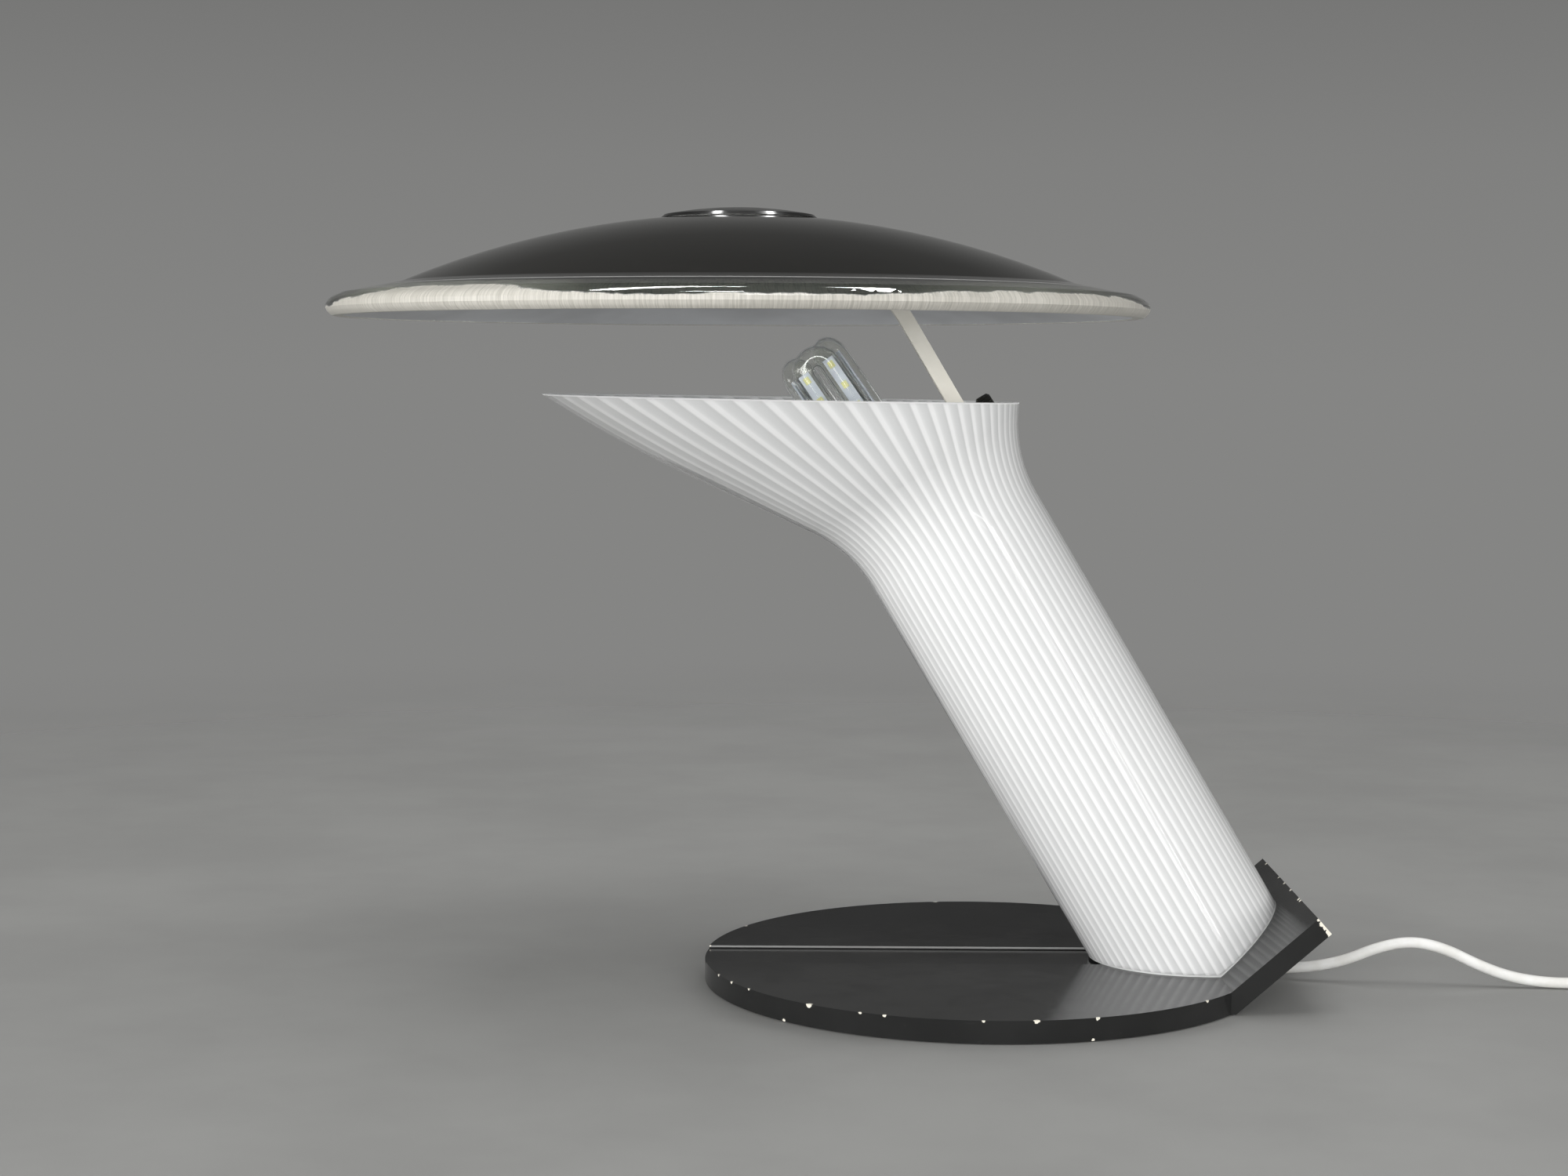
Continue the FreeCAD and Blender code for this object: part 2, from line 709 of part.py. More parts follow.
def make_column():
    """The striped glass: a revolved wall between the plate and the rim plane, and its clear foot ring."""
    bend_end_r = "(dims.column_radius + dims.flare_bend * (1 - cos(dims.flare_angle)))"
    bend_end_s = "(dims.flare_start + dims.flare_bend * sin(dims.flare_angle))"
    line_end_r = "(%s + dims.flare_straight * sin(dims.flare_angle))" % bend_end_r
    line_end_s = "(%s + dims.flare_straight * cos(dims.flare_angle))" % bend_end_s
    last = "(dims.flare_angle - dims.flare_curl_angle)"
    tip_r = "(%s + dims.flare_curl * (cos(%s) - cos(dims.flare_angle)))" % (line_end_r, last)
    tip_s = "(%s + dims.flare_curl * (sin(dims.flare_angle) - sin(%s)))" % (line_end_s, last)
    wall = "dims.column_wall"
    wall_r = "(%s * cos(dims.flare_angle))" % wall
    wall_s = "(%s * sin(dims.flare_angle))" % wall
    low = "-1.5 * dims.column_radius"
    corners = [
        ("dims.column_radius", low),
        ("dims.column_radius", "dims.flare_start"),
        (bend_end_r, bend_end_s),
        (line_end_r, line_end_s),
        (tip_r, tip_s),
        ("%s - %s * cos(%s)" % (tip_r, wall, last), "%s + %s * sin(%s)" % (tip_s, wall, last)),
        ("%s - %s" % (line_end_r, wall_r), "%s + %s" % (line_end_s, wall_s)),
        ("%s - %s" % (bend_end_r, wall_r), "%s + %s" % (bend_end_s, wall_s)),
        ("dims.column_radius - %s" % wall, "dims.flare_start"),
        ("dims.column_radius - %s" % wall, low),
    ]
    arcs = {1: "-dims.flare_bend", 3: "dims.flare_curl", 5: "-(dims.flare_curl - %s)" % wall,
            7: "(dims.flare_bend + %s)" % wall}
    wall_solid = revolved("column_wall_solid", corners, arcs, "column_frame")
    right_end = "(3 * dims.disc_radius)"
    left_end = "(-1.5 * dims.disc_radius - dims.shade_radius)"

    def rim_plane(x):
        return "dims.rim_height - (%s - dims.rim_middle_x) * tan(dims.rim_fall)" % x

    rim = [(right_end, rim_plane(right_end)), (left_end, rim_plane(left_end)),
           (left_end, "%s + dims.gasket_thickness" % TOP)]
    inside = above_plate("column_trim", "dims.gasket_thickness", rim)
    keep(common("glass_column", wall_solid, inside), "glass_column")

    ring_solid = revolved("gasket_ring",
                          [("dims.column_radius", low), ("dims.column_radius", "dims.flare_start / 2"),
                                          ("dims.column_radius - %s" % wall, "dims.flare_start / 2"),
                                          ("dims.column_radius - %s" % wall, low)], None, "column_frame")
    lift = "dims.gasket_thickness"
    far = "3 * dims.flange_length"
    layer_top = [
        ("dims.fold_x - %s * sin(dims.flange_tilt) + %s * cos(dims.flange_tilt)" % (lift, far),
         "%s + %s * cos(dims.flange_tilt) + %s * sin(dims.flange_tilt)" % (TOP, lift, far)),
        ("dims.fold_x - %s * tan(dims.flange_tilt / 2)" % lift, "%s + %s" % (TOP, lift)),
        ("-1.5 * dims.disc_radius", "%s + %s" % (TOP, lift)),
    ]
    layer = above_plate("gasket_layer", "0", layer_top)
    keep(common("foot_gasket", ring_solid, layer), "foot_gasket")


def make_foot():
    """Folded bracket with its boss, the stem, its nut and the four bracket screws."""
    thick = "dims.bracket_thickness"
    left = "dims.fold_x - dims.bracket_left"
    right_x = "dims.fold_x + dims.bracket_right * cos(dims.flange_tilt)"
    right_z = "%s + dims.bracket_right * sin(dims.flange_tilt)" % TOP
    plate = slab(
        "bracket_plate",
        [(left, TOP), ("dims.fold_x", TOP), (right_x, right_z),
         ("%s - %s * sin(dims.flange_tilt)" % (right_x, thick),
          "%s + %s * cos(dims.flange_tilt)" % (right_z, thick)),
         ("dims.fold_x - %s * tan(dims.flange_tilt / 2)" % thick, "%s + %s" % (TOP, thick)),
         (left, "%s + %s" % (TOP, thick))],
        None, "2 * dims.bracket_half_width")
    high = "3 * dims.boss_height"
    room = above_plate("boss_room", "0", [("3 * dims.disc_radius", "%s + %s" % (TOP, high)),
                                          ("-1.5 * dims.disc_radius", "%s + %s" % (TOP, high))],
                       "dims.disc_radius")
    boss = common("boss_foot",
                  cylinder("boss_round", "dims.boss_radius", "dims.boss_height + 3 * dims.boss_radius",
                                        "column_frame", ("0", "0", "-3 * dims.boss_radius")), room)
    bore = cylinder("boss_bore", "dims.stem_radius + dims.screw_gap", "dims.boss_height", "column_frame",
                    ("0", "0", "dims.stem_seat"))
    holes = [
        cylinder("bracket_hole_%d" % n, "dims.screw_radius + dims.screw_clearance", "3 * %s" % thick, None,
                 ("dims.fold_x - dims.disc_screw_back", "%d * dims.screw_side" % side,
                  "%s - %s" % (TOP, thick)))
        for n, side in enumerate((-1, 1))]
    holes += [
        cylinder("bracket_hole_%d" % (n + 2), "dims.screw_radius + dims.screw_clearance", "3 * %s" % thick,
                 "flange_frame",
                 ("dims.flange_screw_out", "%d * dims.screw_side" % side, "-%s" % thick))
        for n, side in enumerate((-1, 1))]
    keep(cut("foot_bracket", fuse("bracket_blank", plate, boss), bore, *holes), "foot_bracket")

    screws = [
        screw("bracket_screw_%d" % n, "dims.screw_radius", "dims.screw_length", "dims.screw_head_radius",
              "dims.screw_head_height", None, ("dims.fold_x - dims.disc_screw_back",
                                               "%d * dims.screw_side" % side, "%s + %s" % (TOP, thick)))
        for n, side in enumerate((-1, 1))]
    screws += [
        screw("bracket_screw_%d" % (n + 2), "dims.screw_radius", "dims.screw_length",
              "dims.screw_head_radius",
              "dims.screw_head_height", "flange_frame",
              ("dims.flange_screw_out", "%d * dims.screw_side" % side, thick))
        for n, side in enumerate((-1, 1))]
    keep(group("bracket_screws", *screws), "bracket_screws")

    tangent = "dims.stem_bend_radius * tan(dims.bulb_tilt / 2)"
    reach = "(dims.holder_start + dims.holder_seat)"
    path = [("0", "dims.stem_seat"), ("0", "dims.stem_bend - %s" % tangent),
            ("-%s * sin(dims.bulb_tilt)" % tangent, "dims.stem_bend + %s * cos(dims.bulb_tilt)" % tangent),
            ("-%s * sin(dims.bulb_tilt)" % reach, "dims.stem_bend + %s * cos(dims.bulb_tilt)" % reach)]
    outer = swept("stem_outer", path, {1: "dims.stem_bend_radius"}, "dims.stem_radius", "column_frame")
    inner = swept("stem_inner", path, {1: "dims.stem_bend_radius"}, "dims.stem_bore", "column_frame")
    keep(cut("stem_tube", outer, inner), "stem_tube")
    nut_at = ("0", "0", "dims.boss_height + dims.stem_nut_gap")
    nut = hexagon("nut_block", "dims.stem_nut_across", "dims.stem_nut_height", "column_frame", nut_at)
    nut_bore = cylinder("nut_bore", "dims.stem_radius + dims.screw_gap", "3 * dims.stem_nut_height",
                        "column_frame", ("0", "0", "dims.boss_height - dims.stem_nut_height / 2"))
    keep(cut("stem_nut", nut, nut_bore), "stem_nut")


def make_holder():
    """Lampholder on the stem: cap, insert, threaded sleeve, centre contact and skirt."""
    neck_bore = "(dims.stem_radius + dims.screw_gap)"
    cap = revolved(
        "holder_cap_solid",
        [(neck_bore, "0"), ("dims.holder_neck_radius", "0"),
         ("dims.holder_neck_radius", "dims.holder_seat - dims.holder_neck_fall"),
         ("dims.holder_radius", "dims.holder_shoulder"), ("dims.holder_radius", "dims.holder_cap_top"),
         ("dims.holder_radius - dims.holder_wall", "dims.holder_cap_top"),
         ("dims.holder_radius - dims.holder_wall", "dims.holder_shoulder + dims.holder_floor"),
         ("dims.holder_neck_radius", "dims.holder_seat + dims.holder_floor"),
         (neck_bore, "dims.holder_seat + dims.holder_floor")],
        None, "bulb_frame")
    lead_way = cylinder("holder_lead_hole", "dims.cord_radius + dims.lead_way_gap",
                        "dims.lead_end - dims.lead_top + 2 * dims.holder_wall + dims.holder_neck_fall",
                        "column_frame",
                        (LEAD_ACROSS, "0", "dims.lead_top"), ("0", "1", "0", LEAD_TURN))
    keep(cut("holder_cap", cap, lead_way), "holder_cap")

    insert = cylinder("insert_block", "dims.insert_radius",
                      "dims.insert_top - dims.insert_bottom - dims.insert_foot",
                      "bulb_frame", ("0", "0", "dims.insert_bottom + dims.insert_foot"))
    ring = cylinder("insert_ring", "dims.insert_radius - dims.insert_foot",
                    "dims.insert_top - dims.insert_bottom",
                    "bulb_frame", ("0", "0", "dims.insert_bottom"))
    terminals = [cylinder("terminal_hole_%d" % n, "dims.terminal_radius", "3 * dims.insert_radius",
                          "bulb_frame",
                          ("%d * dims.terminal_side" % side, "-1.5 * dims.insert_radius",
                           "dims.insert_bottom + dims.terminal_up"), ("1", "0", "0", "-90"))
                 for n, side in enumerate((-1, 1))]
    keep(cut("holder_insert", fuse("insert_blank", insert, ring), *terminals), "holder_insert")

    sleeve = cylinder("sleeve_outer", "dims.thread_radius", "dims.thread_top - dims.insert_top",
                      "bulb_frame", ("0", "0", "dims.insert_top"))
    sleeve_bore = cylinder("sleeve_bore", "dims.thread_radius - dims.thread_wall", "dims.thread_top",
                           "bulb_frame", ("0", "0", "dims.insert_top - dims.contact_height"))
    keep(cut("holder_sleeve", sleeve, sleeve_bore), "holder_sleeve")

    tongue = box("contact_tongue",
                 ("2 * dims.contact_width", "dims.contact_width", "dims.contact_thickness"), "bulb_frame",
                 ("-dims.contact_width", "-dims.contact_width / 2", "dims.insert_top"))
    button = cone("contact_button", "dims.contact_width / 2", "dims.contact_width / 4",
                  "dims.contact_height", "bulb_frame",
                  ("0", "0", "dims.insert_top + dims.contact_thickness"))
    keep(fuse("holder_contact", tongue, button), "holder_contact")

    skirt = revolved(
        "holder_skirt",
        [("dims.skirt_inner", "dims.holder_cap_top + dims.skirt_gap"),
         ("dims.holder_radius + dims.skirt_side_gap", "dims.holder_cap_top + dims.skirt_gap"),
         ("dims.holder_radius + dims.skirt_side_gap", "dims.holder_cap_top + dims.skirt_lip"),
         ("dims.skirt_radius", "dims.holder_cap_top + dims.skirt_shoulder"),
         ("dims.skirt_radius", "dims.skirt_top - dims.skirt_edge_height"),
         ("dims.skirt_radius - dims.skirt_edge_width", "dims.skirt_top"),
         ("dims.skirt_inner", "dims.skirt_top")],
        None, "bulb_frame")
    keep(skirt, "holder_skirt")


LEAD_TURN = "atan((dims.lead_end_offset - %s) / (dims.lead_end - dims.lead_top))" % LEAD_ACROSS


def make_bulb():
    """Screw cap, ballast housing, three U-tubes and, in each straight arm, a strip with its chips."""
    cap = revolved(
        "bulb_cap",
        [("0", "dims.bulb_cap_bottom - dims.bulb_tip_height"),
         ("dims.bulb_tip_radius", "dims.bulb_cap_bottom - dims.bulb_tip_height"),
         ("dims.bulb_tip_radius", "dims.bulb_cap_bottom"),
         ("dims.bulb_radius - dims.bulb_cap_inset", "dims.bulb_cap_bottom + dims.bulb_cap_step"),
         ("dims.bulb_radius", "dims.bulb_cap_bottom + dims.bulb_cap_shoulder"),
         ("dims.bulb_radius", "dims.bulb_cap_top"),
         ("0", "dims.bulb_cap_top")],
        None, "bulb_frame")
    keep(cap, "bulb_cap")
    housing = revolved(
        "ballast_solid",
        [("0", "dims.bulb_cap_top"), ("dims.bulb_radius - dims.bulb_neck_inset", "dims.bulb_cap_top"),
         ("dims.bulb_radius - dims.bulb_neck_inset", "dims.ballast_bottom"),
         ("dims.ballast_low_radius", "dims.ballast_bottom"), ("dims.ballast_radius", "dims.ballast_middle"),
         ("dims.ballast_radius", "dims.ballast_top - dims.ballast_edge"),
         ("dims.ballast_radius - dims.ballast_edge", "dims.ballast_top"),
         ("0", "dims.ballast_top")],
        None, "bulb_frame")
    sockets = []
    tubes = []
    strips = []
    chips = []
    low = "(dims.ballast_top - dims.tube_sunk)"
    below = "(%s - dims.tube_wall)" % low
    half_gap = "dims.tube_half_gap"
    distance = "-dims.tube_setback"
    straight = "(dims.tubes_top - dims.tube_radius - %s - %s)" % (half_gap, low)
    strip_low = "(dims.ballast_top + dims.strip_fall)"
    strip_long = "(%s + %s + dims.strip_over - %s)" % (low, straight, strip_low)
    for u_tube in range(3):
        spin = "%d" % (120 * u_tube)
        turn = ("0", "0", "1", spin)
        frame_name = "tube_frame_%d" % u_tube
        frame(frame_name, "bulb_frame", ("0", "0", "0"), turn)
        pieces = {"outer": [], "inner": []}
        radii = {"outer": "dims.tube_radius", "inner": "(dims.tube_radius - dims.tube_wall)"}
        for kind, radius in radii.items():
            for side in (-1, 1):
                at = ("%d * %s" % (side, half_gap), distance, low if kind == "outer" else below)
                height = straight if kind == "outer" else "%s + dims.tube_wall" % straight
                pieces[kind].append(cylinder("tube_%s_%d_%d" % (kind, u_tube, side + 1), radius, height,
                                             frame_name, at))
            arch = doc.addObject("Part::Torus", "arch_%s_%d" % (kind, u_tube))
            arch.setExpression("Radius1", half_gap)
            arch.setExpression("Radius2", radius)
            arch.Angle3 = 180
            put(arch, frame_name, ("0", distance, "%s + %s" % (low, straight)), ("1", "0", "0", "90"))
            pieces[kind].append(arch)
        outer = fuse("tube_skin_%d" % u_tube, *pieces["outer"])
        inner = fuse("tube_hollow_%d" % u_tube, *pieces["inner"])
        tubes.append(cut("u_tube_%d" % u_tube, outer, inner))
        for side in (-1, 1):
            middle = "%d * %s" % (side, half_gap)
            tag = "%d_%d" % (u_tube, side + 1)
            sockets.append(cylinder("socket_" + tag, "dims.tube_radius + dims.socket_gap",
                                    "2 * dims.tube_sunk",
                                    frame_name, (middle, distance, "%s - dims.socket_gap" % low)))
            sides = ("dims.strip_width", "dims.strip_thickness", strip_long)
            at = ("%s - dims.strip_width / 2" % middle, "%s - dims.strip_thickness / 2" % distance,
                  strip_low)
            strips.append(box("strip_" + tag, sides, frame_name, at))
            first_chip = "%s + %s - dims.chip_long - dims.chip_margin" % (strip_low, strip_long)
            face = "%s - dims.strip_thickness / 2 - dims.chip_high" % distance
            for number in range(int(size("dims.chips_on_strip"))):
                at = ("%s - dims.chip_wide / 2" % middle, face,
                      "%s - %d * dims.chip_step" % (first_chip, number))
                sides = ("dims.chip_wide", "dims.chip_high", "dims.chip_long")
                chips.append(box("chip_%s_%d" % (tag, number), sides, frame_name, at))
    keep(cut("bulb_housing", housing, fuse("sockets", *sockets)), "bulb_housing")
    keep(group("bulb_tubes", *tubes), "bulb_tubes")
    keep(group("led_strips", *strips), "led_strips")
    keep(group("led_chips", *chips), "led_chips")


# where the arm's straight run ends and its bend begins, up the column's axis
BEND_START = (
    "((dims.arm_height - dims.arm_bend * (1 - sin(dims.lean)) - %s - dims.arm_offset * sin(dims.lean))"
    " / cos(dims.lean))" % TOP)
# the shade's axis stands at the arm's reach beyond the end of the bend
SHADE_X = (
    "(dims.axis_x + dims.arm_offset * cos(dims.lean) - %s * sin(dims.lean)"
    " - dims.arm_bend * cos(dims.lean) - dims.arm_reach)" % BEND_START)


def make_bars():
    """Fixed bar from the flange, the sliding arm with its slot, the guide round it and the clamp."""
    arm_right = "(dims.arm_offset + dims.arm_thickness / 2)"
    bar_left = "(%s + dims.bar_gap)" % arm_right
    bar_right = "(%s + dims.bar_thickness)" % bar_left
    slope = "tan(%s)" % FLANGE_IN_COLUMN

    def plane(across):
        return "(%s + (%s - %s) * %s)" % (FOLD_UP, across, FOLD_ACROSS, slope)

    rise = "dims.bar_thickness / cos(%s)" % FLANGE_IN_COLUMN
    start = "dims.bar_foot_start"
    bar = slab(
        "bar_strip",
        [(start, plane(start)), (bar_right, plane(bar_right)), (bar_right, "dims.bar_top"),
         (bar_left, "dims.bar_top"),
         (bar_left, "%s + %s" % (plane(bar_left), rise)), (start, "%s + %s" % (plane(start), rise))],
        None, "dims.bar_width", "column_frame")
    along = ("0", "1", "0", "90")
    bar_hole = cylinder("bar_clamp_hole", "dims.clamp_radius + dims.clamp_gap", "4 * dims.bar_thickness",
                        "column_frame",
                        ("%s - dims.bar_thickness" % bar_left, "0", "dims.clamp_height"), along)
    foot_holes = [
        cylinder("bar_foot_hole_%d" % n, "dims.bar_screw_radius + dims.screw_clearance",
                 "3 * dims.bar_thickness",
                 "flange_frame",
                 (along_flange(across), "0", "-dims.bar_thickness"))
        for n, across in enumerate(("dims.bar_screw_first", "dims.bar_screw_second"))]
    keep(cut("support_bar", bar, bar_hole, *foot_holes), "support_bar")
    screws = [
        screw("bar_screw_%d" % n, "dims.bar_screw_radius", "dims.screw_length", "dims.bar_screw_head_radius",
              "dims.bar_screw_head_height",
              "flange_frame", (along_flange(across), "0", "dims.bar_thickness"))
        for n, across in enumerate(("dims.bar_screw_first", "dims.bar_screw_second"))]
    keep(group("bar_screws", *screws), "bar_screws")

    half = "dims.arm_thickness / 2"
    turn = "(90 - dims.lean)"
    centre = "(dims.arm_offset - dims.arm_bend)"
    level = "(dims.arm_reach + dims.arm_overhang)"

    def bent(radius, run="0"):
        return (
            "%s + (%s) * cos(%s) - %s * sin(%s)" % (centre, radius, turn, run, turn),
            "%s + (%s) * sin(%s) + %s * cos(%s)" % (BEND_START, radius, turn, run, turn),
        )

    outside = "(dims.arm_bend + %s)" % half
    inside = "(dims.arm_bend - %s)" % half
    bar_outline = [
        ("dims.arm_offset + %s" % half, "dims.arm_low"), ("dims.arm_offset + %s" % half, BEND_START),
        bent(outside), bent(outside, level), bent(inside, level), bent(inside),
        ("dims.arm_offset - %s" % half, BEND_START), ("dims.arm_offset - %s" % half, "dims.arm_low")]
    arm = slab("arm_bar", bar_outline, {1: outside, 5: "-%s" % inside}, "dims.arm_width", "column_frame")
    slot_half = "(dims.clamp_radius + dims.clamp_gap)"
    reach = "2 * dims.arm_thickness"
    from_left = "dims.arm_offset - dims.arm_thickness"
    slot = fuse(
        "arm_slot",
        box("slot_middle", (reach, "2 * %s" % slot_half, "dims.slot_high - dims.slot_low"), "column_frame",
            (from_left, "-%s" % slot_half, "dims.slot_low")),
        cylinder("slot_end_low", slot_half, reach, "column_frame", (from_left, "0", "dims.slot_low"), along),
        cylinder("slot_end_high", slot_half, reach, "column_frame", (from_left, "0", "dims.slot_high"),
                 along))
    spindle_hole = cylinder("arm_spindle_hole", "dims.spindle_radius + dims.spindle_gap",
                            "4 * dims.arm_thickness", None,
                            (SHADE_X, "0", "dims.arm_height - 2 * dims.arm_thickness"))
    keep(cut("shade_arm", arm, slot, spindle_hole), "shade_arm")

    back = "(%s + dims.guide_gap)" % bar_right
    cheek = "(dims.arm_width / 2 + dims.bar_gap)"
    outer = box("guide_outer", ("dims.guide_reach + dims.guide_wall", "2 * (%s + dims.guide_wall)" % cheek,
                                "dims.bar_top - dims.guide_low"),
                "column_frame",
                ("%s - dims.guide_reach" % back, "-(%s + dims.guide_wall)" % cheek, "dims.guide_low"))
    room = box("guide_room",
               ("2 * dims.guide_reach", "2 * %s" % cheek, "2 * (dims.bar_top - dims.guide_low)"),
               "column_frame",
               ("%s - 2 * dims.guide_reach" % back, "-%s" % cheek, "dims.guide_low - dims.guide_wall"))
    guide_hole = cylinder("guide_hole", "dims.clamp_radius + dims.clamp_gap", "4 * dims.guide_wall",
                          "column_frame", ("%s - dims.guide_wall" % back, "0", "dims.clamp_height"), along)
    keep(cut("arm_guide", outer, room, guide_hole), "arm_guide")

    knob_start = "(%s + dims.guide_wall + dims.knob_gap)" % back
    nut_right = "(dims.arm_offset - dims.arm_thickness / 2 - dims.bar_gap)"
    nut = box("clamp_nut_block", ("dims.clamp_nut_thickness", "dims.clamp_nut_side", "dims.clamp_nut_side"),
              "column_frame",
              ("%s - dims.clamp_nut_thickness" % nut_right, "-dims.clamp_nut_side / 2",
               "dims.clamp_height - dims.clamp_nut_side / 2"))
    nut_hole = cylinder("clamp_nut_hole", "dims.clamp_radius + dims.screw_gap",
                        "4 * dims.clamp_nut_thickness", "column_frame",
                        ("%s - 2 * dims.clamp_nut_thickness" % nut_right, "0", "dims.clamp_height"), along)
    keep(cut("clamp_nut", nut, nut_hole), "clamp_nut")
    make_thumbscrew(knob_start, nut_right)


def make_thumbscrew(knob_start, nut_right):
    """A fluted knob on a threaded shank, its axis square to the bars."""
    body, sketch = body_on_plane("thumbscrew", "column_frame", (knob_start, "0", "dims.clamp_height"),
                                 ("0", "1", "0", "90"))
    head = circle(sketch("head"), "dims.knob_radius")
    block = pad(body, head, "dims.knob_length")
    doc.recompute()
    edges = enumerate(block.Shape.Edges, start=1)
    rims = ["Edge%d" % n for n, edge in edges if isinstance(edge.Curve, Part.Circle)]
    chamfer = body.newObject("PartDesign::Chamfer", "knob_chamfer")
    chamfer.Base = (block, rims)
    chamfer.setExpression("Size", "dims.knob_chamfer")
    flute = circle(sketch("flute"), "dims.knob_flute_radius", "dims.knob_radius")
    grooves = pocket(body, flute, "dims.knob_length", True)
    doc.recompute()
    pattern = body.newObject("PartDesign::PolarPattern", "knob_pattern")
    pattern.Originals = [grooves]
    pattern.Axis = (head, ["N_Axis"])
    pattern.Angle = 360
    pattern.setExpression("Occurrences", "dims.knob_flutes")
    body.Tip = pattern
    shank_length = "(%s - %s + dims.clamp_nut_thickness + dims.clamp_over)" % (knob_start, nut_right)
    shank = circle(sketch("shank", "-%s" % shank_length), "dims.clamp_radius")
    pad(body, shank, "%s + dims.knob_flute_radius" % shank_length)
    keep(body, "thumbscrew")


def sphere_height(radius_of_sphere, top, distance):
    """Height of a sphere's surface at a distance from its upright axis, given the height of its top."""
    return "(%s - %s + sqrt((%s)^2 - (%s)^2))" % (top, radius_of_sphere, radius_of_sphere, distance)


def glass_outline(apex, inner_top):
    """Corners and arcs of the shade: a domed wall, a slope beyond the kink and a thick rounded edge."""
    inner_sphere = "(dims.dome_radius - dims.dome_wall)"
    kink = "(dims.shade_radius - dims.rim_width)"
    kink_z = sphere_height("dims.dome_radius", apex, kink)
    shoulder = "(dims.shade_radius - dims.rim_shoulder_inset)"
    shoulder_z = "(%s - (%s - %s) * tan(dims.rim_slope))" % (kink_z, shoulder, kink)
    foot = "(dims.shade_radius - dims.rim_foot_inset)"
    foot_z = "%s - dims.rim_foot_fall" % shoulder_z
    edge_z = "%s - dims.rim_edge_fall" % shoulder_z
    corners = [
        ("dims.shade_hole", sphere_height(inner_sphere, inner_top, "dims.shade_hole")),
        ("%s - dims.rim_wall_step" % kink,
         "%s + dims.rim_wall_step * tan(dims.rim_slope) - dims.rim_wall" % kink_z),
        ("%s - dims.rim_foot_width" % foot, foot_z),
        (foot, foot_z),
        ("dims.shade_radius", "%s - dims.rim_edge_flat" % edge_z),
        ("dims.shade_radius", edge_z),
        ("%s + dims.rim_shoulder_out" % shoulder, "%s - dims.rim_shoulder_fall" % shoulder_z),
        (shoulder, shoulder_z),
        (kink, kink_z),
        ("dims.shade_hole", sphere_height("dims.dome_radius", apex, "dims.shade_hole")),
    ]
    arcs = {0: "-%s" % inner_sphere, 3: "dims.rim_foot_round", 5: "dims.rim_edge_round",
            8: "dims.dome_radius"}
    return corners, arcs


def make_shade():
    """Spindle through the arm, seat, glass, cap and the soft pieces between them."""

    def at(height):
        return (SHADE_X, "0", height)

    arm_top = "(dims.arm_height + dims.arm_thickness / 2)"
    arm_under = "(dims.arm_height - dims.arm_thickness / 2)"
    gasket_low = "(%s + dims.seat_thickness + dims.seat_gap)" % arm_top
    inner_top = "(%s + dims.seat_gasket_thickness)" % gasket_low
    apex = "(%s + dims.dome_wall)" % inner_top

    spindle_low = "(%s - dims.nut_height - dims.spindle_below)" % arm_under
    spindle_length = "%s + dims.spindle_above - %s" % (apex, spindle_low)
    keep(cylinder("spindle", "dims.spindle_radius", spindle_length, None, at(spindle_low)), "spindle")
    nut = hexagon("spindle_nut_block", "dims.nut_across", "dims.nut_height", None,
                  at("%s - dims.nut_height" % arm_under))
    nut_bore = cylinder("spindle_nut_bore", "dims.spindle_radius + dims.screw_gap", "3 * dims.nut_height",
                        None,
                        at("%s - 2 * dims.nut_height" % arm_under))
    keep(cut("spindle_nut", nut, nut_bore), "spindle_nut")
    seat = cylinder("seat_round", "dims.seat_radius", "dims.seat_thickness", None, at(arm_top))
    seat_bore = cylinder("seat_bore", "dims.spindle_radius + dims.spindle_gap", "3 * dims.seat_thickness",
                         None,
                         at("%s - dims.seat_thickness" % arm_top))
    keep(cut("shade_seat", seat, seat_bore), "shade_seat")

    glass = keep(revolved("shade_glass", *glass_outline(apex, inner_top), None, at("0")), "shade_glass")

    gasket_blank = cylinder("seat_gasket_round", "dims.seat_radius", "dims.seat_gasket_thickness", None,
                            at(gasket_low))
    gasket_bore = cylinder("seat_gasket_bore", "dims.shade_hole", "3 * dims.seat_gasket_thickness", None,
                           at("%s - dims.seat_gasket_thickness" % gasket_low))
    keep(cut("seat_gasket", gasket_blank, gasket_bore, glass), "seat_gasket")

    bush_outer = cylinder("centre_bush_outer", "dims.shade_hole - dims.bush_gap",
                          "dims.dome_wall - 4 * dims.bush_gap",
                          None, at("%s + dims.bush_gap" % inner_top))
    bush_inner = cylinder("centre_bush_inner", "dims.shade_hole - dims.bush_gap - dims.bush_wall",
                          "3 * dims.dome_wall",
                          None, at("%s - dims.dome_wall" % inner_top))
    keep(cut("centre_bush", bush_outer, bush_inner), "centre_bush")

    ring_low = "(%s + dims.ring_top - dims.ring_height)" % apex
    ring_blank = cylinder("cap_ring_outer", "dims.ring_outer", "dims.ring_height", None, at(ring_low))
    ring_bore = cylinder("cap_ring_inner", "dims.ring_inner", "3 * dims.ring_height", None,
                         at("%s - dims.ring_height" % ring_low))
    keep(cut("cap_ring", ring_blank, ring_bore, glass), "cap_ring")
    make_shade_cap(apex, inner_top)


